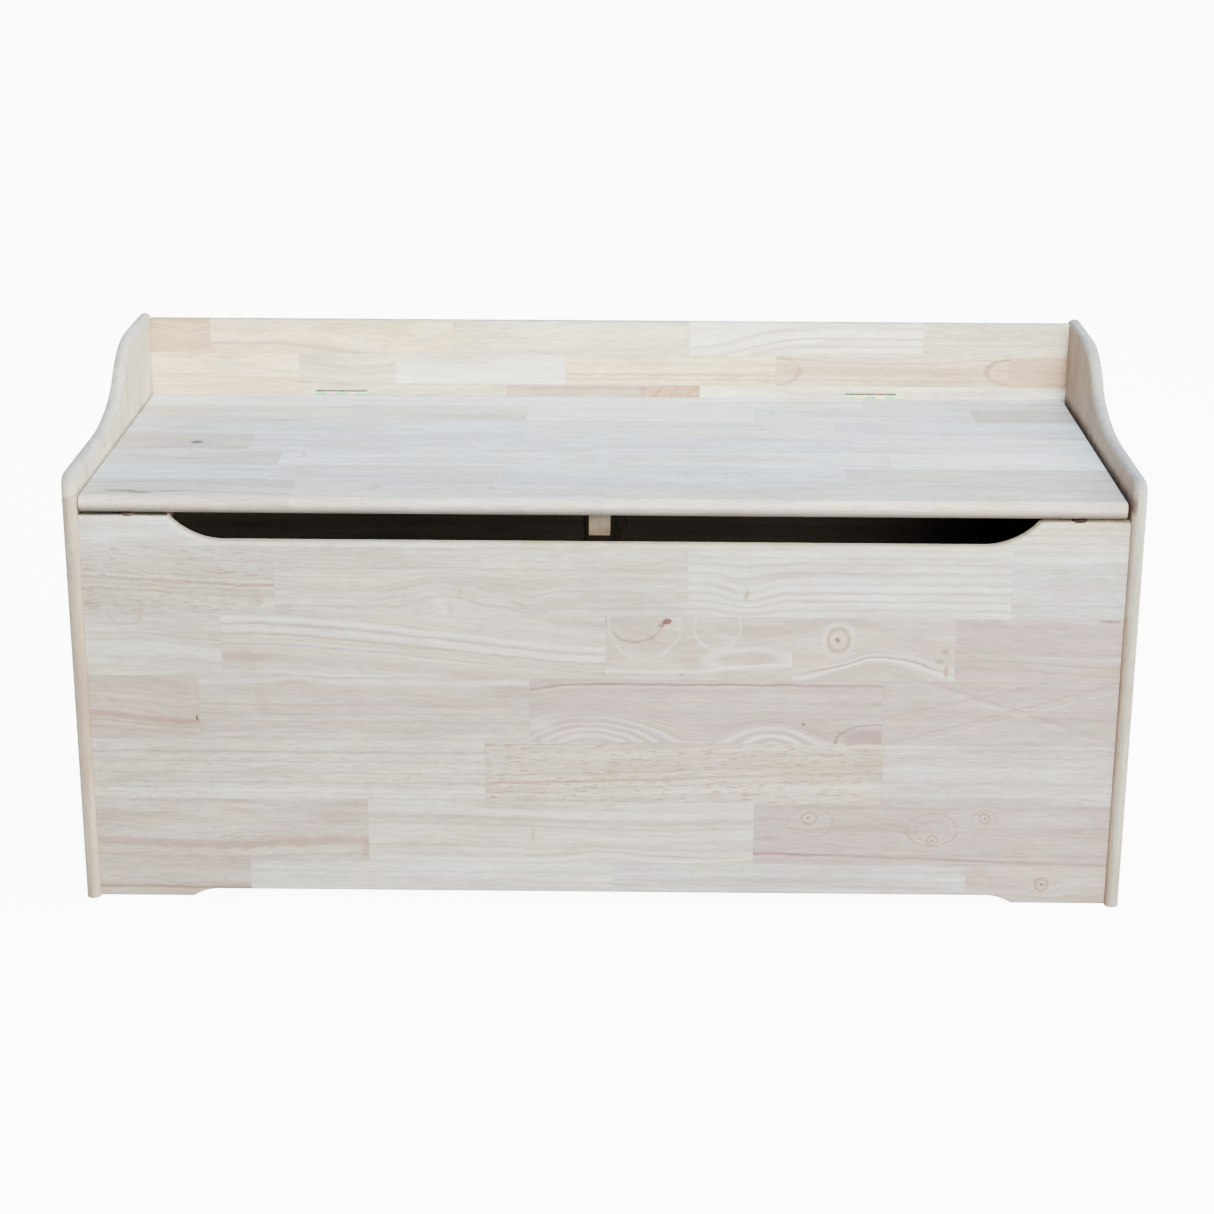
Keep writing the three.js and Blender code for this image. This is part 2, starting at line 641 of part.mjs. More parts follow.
// ---- Assembly.
const assembly = new THREE.Group();
assembly.position.y = -DEPTH / 2;
assembly.add(
  ...sidePanels(),
  frontPanel(),
  bumper("bumper_left", -BUMPER.x),
  bumper("bumper_right", BUMPER.x),
  backrest(),
  lowerBackRail(),
  backStile(),
  backPanel("back_panel_left", -1),
  backPanel("back_panel_right", 1),
  ...floorAndCleats(),
  ...cornerPosts(),
  ...lid(),
  ...hinge("left", HINGE_X.left),
  ...hinge("right", HINGE_X.right),
  ...lidStay(),
);

const toyBox = new THREE.Group();
toyBox.add(assembly);
export default toyBox;
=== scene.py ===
"""The looks of a wooden toy box that is also a bench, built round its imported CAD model. Metres, +Z up."""

import json
import math
import random

import bmesh
import bpy
from mathutils import Matrix, Vector

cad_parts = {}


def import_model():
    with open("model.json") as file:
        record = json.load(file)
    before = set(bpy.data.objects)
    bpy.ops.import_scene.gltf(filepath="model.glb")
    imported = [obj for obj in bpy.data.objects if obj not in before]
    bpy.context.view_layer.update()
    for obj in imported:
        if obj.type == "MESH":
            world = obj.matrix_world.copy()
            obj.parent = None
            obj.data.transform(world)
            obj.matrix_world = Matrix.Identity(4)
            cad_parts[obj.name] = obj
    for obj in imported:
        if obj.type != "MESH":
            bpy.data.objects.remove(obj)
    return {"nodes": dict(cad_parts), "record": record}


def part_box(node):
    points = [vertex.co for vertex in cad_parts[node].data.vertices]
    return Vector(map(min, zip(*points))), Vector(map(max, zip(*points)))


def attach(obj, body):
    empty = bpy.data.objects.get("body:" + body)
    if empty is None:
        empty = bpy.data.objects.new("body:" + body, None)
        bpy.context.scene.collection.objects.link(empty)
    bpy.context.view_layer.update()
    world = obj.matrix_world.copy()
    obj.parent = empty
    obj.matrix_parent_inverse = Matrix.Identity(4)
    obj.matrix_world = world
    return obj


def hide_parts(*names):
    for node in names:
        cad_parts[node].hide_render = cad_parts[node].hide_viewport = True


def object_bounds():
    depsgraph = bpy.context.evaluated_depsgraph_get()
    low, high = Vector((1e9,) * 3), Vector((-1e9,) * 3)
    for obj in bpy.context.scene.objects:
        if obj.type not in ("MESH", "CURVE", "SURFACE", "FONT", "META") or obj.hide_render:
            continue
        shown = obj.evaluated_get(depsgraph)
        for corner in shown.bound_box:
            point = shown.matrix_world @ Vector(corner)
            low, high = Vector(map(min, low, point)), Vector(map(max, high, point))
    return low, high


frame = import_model()
CAD_LOW, CAD_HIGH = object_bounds()
MM = 0.001
X, Y, Z = 0, 1, 2
TINY = 1e-6  # Anything nearer than this is in the same place.


# ---- Materials: helpers that add nodes and feed their sockets.
class Nodes:
    def __init__(self, name):
        self.material = bpy.data.materials.new(name)
        self.material.use_nodes = True
        self.tree = self.material.node_tree
        self.tree.nodes.clear()

    def add(self, kind, inputs=None, **settings):
        node = self.tree.nodes.new("ShaderNode" + kind)
        for name, value in settings.items():
            setattr(node, name, value)
        for key, value in (inputs or {}).items():
            self.feed(node.inputs[key], value)
        return node

    def feed(self, socket, value):
        if isinstance(value, bpy.types.NodeSocket):
            self.tree.links.new(value, socket)
        else:
            socket.default_value = value

    def math(self, operation, a, b=0.0, c=0.0):
        return self.add("Math", {0: a, 1: b, 2: c}, operation=operation).outputs[0]

    def vector(self, operation, a, b=(0, 0, 0), c=(0, 0, 0)):
        return self.add("VectorMath", {0: a, 1: b, 2: c}, operation=operation).outputs[0]

    def combine(self, x=0.0, y=0.0, z=0.0):
        return self.add("CombineXYZ", {0: x, 1: y, 2: z}).outputs[0]

    def ramp(self, value, low, high, to_low=0.0, to_high=1.0):
        inputs = {"Value": value, "From Min": low, "From Max": high, "To Min": to_low, "To Max": to_high}
        return self.add("MapRange", inputs, interpolation_type="SMOOTHSTEP").outputs["Result"]

    def noise(self, where, scale, detail=2.0, roughness=0.5):
        where = self.vector("MULTIPLY", where, scale)
        inputs = {"Scale": 1.0, "Detail": detail, "Roughness": roughness, "Vector": where}
        return self.add("TexNoise", inputs).outputs["Fac"]

    def mix(self, factor, a, b):
        node = self.add("Mix", data_type="RGBA")
        self.feed(node.inputs["Factor"], factor)
        self.feed(node.inputs["A"], a)
        self.feed(node.inputs["B"], b)
        return node.outputs["Result"]

    def bump(self, height, distance, strength=1.0):
        inputs = {"Height": height, "Distance": distance, "Strength": strength}
        return self.add("Bump", inputs).outputs["Normal"]

    def surface(self, **inputs):
        shader = self.add("BsdfPrincipled")
        for name, value in inputs.items():
            self.feed(shader.inputs[name.replace("_", " ")], value)
        self.output(shader.outputs[0])
        return self.material

    def output(self, shader):
        self.add("OutputMaterial", {"Surface": shader})


def rgb(red, green, blue):
    """A colour from 0 to 255 per channel, as a linear one."""
    return tuple(((c / 255 + 0.055) / 1.055) ** 2.4 for c in (red, green, blue)) + (1.0,)


# ---- Wood. Each stave of a board carries three attributes: grain (the place along, across and into the
# grain), stave (the distance from its end and its side, and its length and width) and tint (its colour with
# its painted light and shade, and how open its pores are).
TONES = {
    "snow": rgb(236, 234, 224),
    "white": rgb(221, 218, 209),
    "butter": rgb(233, 217, 186),
    "cream": rgb(222, 214, 194),
    "pale": rgb(212, 205, 189),
    "cool": rgb(205, 203, 197),
    "mist": rgb(211, 210, 206),
    "ash": rgb(199, 192, 184),
    "sand": rgb(206, 193, 175),
    "rose": rgb(200, 187, 173),
    "blush": rgb(193, 177, 167),
    "dusk": rgb(197, 180, 163),
    "mauve": rgb(187, 172, 164),
    "tan": rgb(194, 170, 141),
    "stone": rgb(203, 193, 184),
    "flax": rgb(196, 186, 172),
    "linen": rgb(211, 202, 195),
    "apricot": rgb(214, 196, 174),
    "fawn": rgb(190, 178, 157),
}
# The colours of marks.
WHITE = rgb(244, 242, 236)
STRAW = rgb(214, 196, 150)
GREY = rgb(168, 158, 152)
UMBER = rgb(150, 116, 86)
RUST = rgb(164, 122, 108)
MAUVE = rgb(158, 134, 134)
MAROON = rgb(110, 66, 66)
BARK = rgb(92, 74, 36)
DARK = rgb(46, 32, 28)
STREAK_FADE = 40  # mm over which the end of a short streak fades in
PALEST = 0.93  # No wood reflects more light than this.


def figure_of(nodes, figure, along, across):
    """The marks of a stave, in mm along and across its board. Returns how far the grain is lifted at a point,
    and a list of marks: the share of each at a point, its colour, and what of the grain breaks it up."""
    seen = nodes.add("SeparateXYZ", {0: nodes.add("TexCoord").outputs["Object"]}).outputs
    place = nodes.vector("MULTIPLY", nodes.combine(seen[along], seen[across]), (1000, 1000, 0))
    noise = nodes.add("TexNoise", {"Scale": 0.04, "Detail": 4.0, "Roughness": 0.6, "Vector": place})
    wander = nodes.vector("MULTIPLY_ADD", noise.outputs["Color"], (9, 5, 0), (-4.5, -2.5, 0))
    place = nodes.vector("ADD", place, wander)
    x, z = nodes.add("SeparateXYZ", {0: place}).outputs[:2]

    def distance(mark_x, mark_z, reach_x, reach_z):
        scale, offset = (1 / reach_x, 1 / reach_z, 0), (-mark_x / reach_x, -mark_z / reach_z, 0)
        scaled = nodes.vector("MULTIPLY_ADD", place, scale, offset)
        return nodes.add("VectorMath", {0: scaled}, operation="LENGTH").outputs["Value"]

    lift = 0.0
    for kind, *shape in figure:
        if kind == "hill":
            near = nodes.ramp(distance(*shape[:4]), 1, 0, 0, shape[4])
            lift = nodes.math("ADD", lift, near)
        if kind == "knot":
            near = nodes.ramp(distance(shape[0], shape[1], 4 * shape[2], 3 * shape[3]), 1, 0, 0, -0.9)
            lift = nodes.math("MULTIPLY_ADD", nodes.math("SUBTRACT", z, shape[1]), near, lift)
    level = nodes.math("ADD", z, lift)

    marks = []
    for kind, *shape in figure:
        if kind == "streak":
            middle, half, tone, share = shape[:4]
            off = nodes.math("ABSOLUTE", nodes.math("SUBTRACT", level, middle))
            part = nodes.ramp(off, half, 0.25 * half, 0, share)
            if shape[4:]:
                start, stop = shape[4:]
                part = nodes.math("MULTIPLY", part, nodes.ramp(x, start, start + STREAK_FADE))
                part = nodes.math("MULTIPLY", part, nodes.ramp(x, stop, stop - STREAK_FADE))
            marks.append((part, tone, "stripes"))
        elif kind == "line":
            (x1, z1, x2, z2), half, tone, share = shape
            length = math.hypot(x2 - x1, z2 - z1)
            normal = ((z1 - z2) / length, (x2 - x1) / length, 0)
            offset = normal[0] * x1 + normal[1] * z1
            reach = nodes.add("VectorMath", {0: place, 1: normal}, operation="DOT_PRODUCT").outputs["Value"]
            off = nodes.math("ABSOLUTE", nodes.math("SUBTRACT", reach, offset))
            marks.append((nodes.ramp(off, half, 0.25 * half, 0, share), tone, "stripes"))
        elif kind in ("patch", "speck"):
            tone, share = shape[4:]
            full = 0.0 if kind == "patch" else 0.55
            part = nodes.ramp(distance(*shape[:4]), 1, full, 0, share)
            marks.append((part, tone, "stripes" if kind == "patch" else None))
        elif kind == "ring":
            width, tone, share = shape[4:]
            off = nodes.math("ABSOLUTE", nodes.math("SUBTRACT", distance(*shape[:4]), 1.0))
            marks.append((nodes.ramp(off, width / min(shape[2:4]), 0, 0, share), tone, "blush"))
        elif kind == "knot":
            near = distance(*shape[:4])
            rim = nodes.ramp(nodes.math("ABSOLUTE", nodes.math("SUBTRACT", near, 0.92)), 0.3, 0.05, 0, 0.6)
            marks.append((nodes.ramp(near, 1, 0.3, 0, 0.25), STRAW, None))
            marks.append((rim, UMBER, None))
            marks.append((nodes.ramp(near, 0.3, 0.12, 0, 0.75), DARK, None))
    return lift, marks


def wood(name, figure=(), along=X, across=Z, contrast=1.0):
    """Pale hardwood, with the marks of one stave if it has any."""
    nodes = Nodes(name)
    grain = nodes.add("Attribute", attribute_name="grain").outputs["Vector"]
    tint = nodes.add("Attribute", attribute_name="tint")
    stave = nodes.add("Attribute", attribute_name="stave")
    marks = []
    if figure:
        lift, marks = figure_of(nodes, figure, along, across)
        grain = nodes.vector("ADD", grain, nodes.combine(y=nodes.math("MULTIPLY", lift, MM)))

    # The log's rings wander, and everything else is drawn out along them.
    ripple = nodes.math("MULTIPLY_ADD", nodes.noise(grain, (22, 60, 60), detail=3), 0.007, -0.0035)
    grain = nodes.vector("ADD", grain, nodes.combine(y=ripple, z=ripple))
    drift = nodes.noise(grain, (2.2, 9, 9))
    drift = nodes.math("MULTIPLY_ADD", drift, 0.05, -0.025)
    drifted = nodes.vector("ADD", grain, nodes.combine(y=drift, z=drift))
    radial = nodes.vector("MULTIPLY", drifted, (0, 1, 1))
    radius = nodes.add("VectorMath", {0: radial}, operation="LENGTH").outputs["Value"]
    growth = nodes.noise(nodes.combine(radius), (190, 1, 1), detail=3, roughness=0.6)
    stripes = nodes.noise(grain, (5, 85, 85), detail=4, roughness=0.62)
    fibres = nodes.noise(grain, (45, 420, 420), detail=3, roughness=0.6)
    blush = nodes.noise(grain, (7, 34, 34), detail=3, roughness=0.6)
    hue = nodes.noise(nodes.vector("ADD", grain, (3.1, 1.7, 0.9)), (11, 62, 62), detail=4, roughness=0.6)
    open_pores = nodes.ramp(nodes.noise(grain, (70, 560, 560), detail=1), 0.56, 0.68)
    open_pores = nodes.math("MULTIPLY", open_pores, tint.outputs["Alpha"])

    light = nodes.ramp(growth, 0.32, 0.68, -0.09, 0.08)
    light = nodes.math("ADD", light, nodes.ramp(stripes, 0.3, 0.7, -0.15, 0.13))
    light = nodes.math("ADD", light, nodes.ramp(fibres, 0.28, 0.72, -0.13, 0.11))
    light = nodes.math("ADD", light, nodes.ramp(blush, 0.3, 0.7, -0.09, 0.08))
    light = nodes.math("MULTIPLY", light, contrast)
    shade = nodes.vector("MULTIPLY_ADD", nodes.combine(light, light, light), (0.85, 1.0, 1.12), (1, 1, 1))
    pink = nodes.ramp(hue, 0.5, 0.34, 0, 0.9 * contrast)
    straw = nodes.ramp(hue, 0.5, 0.66, 0, 0.9 * contrast)
    shade = nodes.vector("MULTIPLY", shade, nodes.mix(pink, (1, 1, 1, 1), (1.0, 0.9, 0.92, 1)))
    shade = nodes.vector("MULTIPLY", shade, nodes.mix(straw, (1, 1, 1, 1), (1.02, 0.99, 0.84, 1)))
    colour = nodes.vector("MULTIPLY", tint.outputs["Vector"], shade)
    breaks_up = {
        "stripes": nodes.ramp(stripes, 0.25, 0.7, 0.5, 1.25),
        "blush": nodes.ramp(blush, 0.33, 0.6, 0.55, 1.2),
    }
    for share, tone, breaks in marks:
        if breaks:
            share = nodes.math("MULTIPLY", share, breaks_up[breaks])
        colour = nodes.mix(share, colour, tone)
    colour = nodes.mix(nodes.math("MULTIPLY", open_pores, 0.45), colour, UMBER)
    seam = seam_of(nodes, stave)
    colour = nodes.mix(nodes.math("MULTIPLY", seam, 0.22), colour, UMBER)

    height = nodes.math("MULTIPLY_ADD", fibres, 0.5, nodes.math("MULTIPLY", open_pores, -0.8))
    height = nodes.math("SUBTRACT", height, seam)
    return nodes.surface(
        Base_Color=colour,
        Roughness=nodes.ramp(stripes, 0.3, 0.7, 0.52, 0.64),
        Specular_IOR_Level=0.42,
        Normal=nodes.bump(height, 0.00012, 0.6),
    )


def seam_of(nodes, stave):
    """1 on the glue line round a stave, 0 elsewhere."""
    from_end, from_side, length = nodes.add("SeparateXYZ", {0: stave.outputs["Vector"]}).outputs
    to_end = nodes.math("MINIMUM", from_end, nodes.math("SUBTRACT", length, from_end))
    width = stave.outputs["Alpha"]
    to_side = nodes.math("MINIMUM", from_side, nodes.math("SUBTRACT", width, from_side))
    return nodes.ramp(nodes.math("MINIMUM", to_end, to_side), 0.0005, 0.00015)


def hardboard(name, colour, shade, cloud_colour, fleck):
    """Thin board with a faint veneer, in four colours from the most of it to the least."""
    nodes = Nodes(name)
    where = nodes.add("TexCoord").outputs["Object"]
    veneer = nodes.noise(where, (3, 400, 60), detail=4, roughness=0.6)
    cloud = nodes.noise(where, (5, 9, 14), detail=3)
    flecks = nodes.ramp(nodes.noise(where, (60, 900, 900), detail=1), 0.6, 0.75)
    colour = nodes.mix(nodes.ramp(veneer, 0.3, 0.72), colour, shade)
    colour = nodes.mix(nodes.ramp(cloud, 0.4, 0.75, 0, 0.4), colour, cloud_colour)
    colour = nodes.mix(nodes.math("MULTIPLY", flecks, 0.3), colour, fleck)
    return nodes.surface(
        Base_Color=colour,
        Roughness=nodes.ramp(veneer, 0.3, 0.7, 0.6, 0.75),
        Normal=nodes.bump(veneer, 0.0002, 0.5),
    )


# ---- Metals, rubber and nylon.
def metal(name, colour, shade, roughness, metallic=1.0, clouds=((60, 60, 60), 3), edges=(0.35, 0.7)):
    """Metal brushed along X, with clouds of a second colour."""
    nodes = Nodes(name)
    where = nodes.add("TexCoord").outputs["Object"]
    cloud = nodes.noise(where, *clouds)
    brushed = nodes.noise(where, (90, 1500, 1500), detail=2)
    return nodes.surface(
        Base_Color=nodes.mix(nodes.ramp(cloud, *edges), colour, shade),
        Metallic=metallic,
        Roughness=nodes.ramp(brushed, 0.3, 0.7, *roughness),
        Normal=nodes.bump(brushed, 0.00003, 0.5),
    )


def zinc_film(name, colour, shade):
    """Passivated zinc. Its thin film shifts in colour from place to place."""
    return metal(name, colour, shade, (0.3, 0.42), 0.15, ((160, 90, 90), 2), (0.4, 0.62))


def plastic(name, colour, shade, roughness, grit):
    """Rubber or nylon with a fine grain, as deep as grit."""
    nodes = Nodes(name)
    where = nodes.add("TexCoord").outputs["Object"]
    fine = nodes.noise(where, (900, 900, 900), detail=2)
    return nodes.surface(
        Base_Color=nodes.mix(nodes.ramp(fine, 0.3, 0.7), colour, shade),
        Roughness=nodes.ramp(fine, 0.3, 0.7, roughness - 0.06, roughness + 0.06),
        Normal=nodes.bump(fine, grit, 0.5),
    )


FINISHES = {
    "rubberwood": wood("rubberwood"),
    # The plywood's dark finish is painted shade for the inside of the box.
    "plywood": hardboard("inside_painted_shade", rgb(104, 99, 93), rgb(88, 84, 79), rgb(90, 85, 80), rgb(60, 57, 55)),
    "hinge_metal": zinc_film("straw_zinc", rgb(250, 246, 214), rgb(206, 240, 200)),
    "stay_metal": metal("bright_zinc", rgb(206, 209, 214), rgb(176, 180, 188), (0.25, 0.38)),
    "bumper_rubber": plastic("bumper_rubber", rgb(58, 42, 35), rgb(44, 32, 27), 0.6, 0.00006),
    "nylon": plastic("nylon", rgb(232, 229, 218), rgb(222, 219, 206), 0.45, 0.00003),
}
# Each hinge leaf's film, which differs from leaf to leaf.
LEAF_FILMS = {
    "hinge_left_backrest_leaf": zinc_film("green_zinc", rgb(130, 252, 140), rgb(170, 254, 205)),
    "hinge_left_lid_leaf": zinc_film("pink_zinc", rgb(255, 208, 226), rgb(238, 222, 255)),
    "hinge_right_backrest_leaf": zinc_film("mint_zinc", rgb(124, 250, 200), rgb(180, 254, 190)),
    "hinge_right_lid_leaf": zinc_film("lemon_zinc", rgb(250, 255, 130), rgb(238, 254, 205)),
}
# What only part of a node has: a back panel's outer face, and the painted shade and painted dark reflection
# on the top of a hinge's knuckles.
PLAIN_PLY = hardboard(
    "plain_ply", rgb(206, 194, 172), rgb(188, 172, 148), rgb(214, 190, 160), rgb(128, 104, 78)
)
KNUCKLE_PAINTED_SHADE = metal("knuckle_painted_shade", rgb(92, 104, 88), rgb(112, 92, 88), (0.55, 0.68))
# The left bumper is fainter in the photo than the right one.
CLEAR_RUBBER = plastic("clear_rubber", rgb(84, 73, 65), rgb(74, 64, 57), 0.5, 0.00006)
NODE_SLOTS = {part["node"]: part["material_slot"] for part in frame["record"]["subparts"]}
NODE_BODIES = {
    node: body for body, nodes in frame["record"]["behaviour"]["bodies"].items() for node in nodes
}

# ---- Staves. A board's rows are given from its low side, each as its far edge and its staves, in mm. A
# stave is its far end, its tone, how open its pores are, and its marks, placed along and across the board:
#   hill    x, z, reach x, reach z, swell                      the grain rises or falls round a place
#   knot    x, z, radius x, radius z                           the grain parts round it
#   streak  level, half width, colour, share [, from x, to x]  a line that follows the grain
#   line    (x1, z1, x2, z2), half width, colour, share        a straight line right through both points
#   patch   x, z, radius x, radius z, colour, share            a soft spot, and speck a crisp one
#   ring    x, z, radius x, radius z, width, colour, share     the outline of an ellipse
# An edge or end at END is the board's own.
END = 600


def several(kind):
    """A function that makes a row of marks of one kind."""
    return lambda *shapes: [(kind, *shape) for shape in shapes]


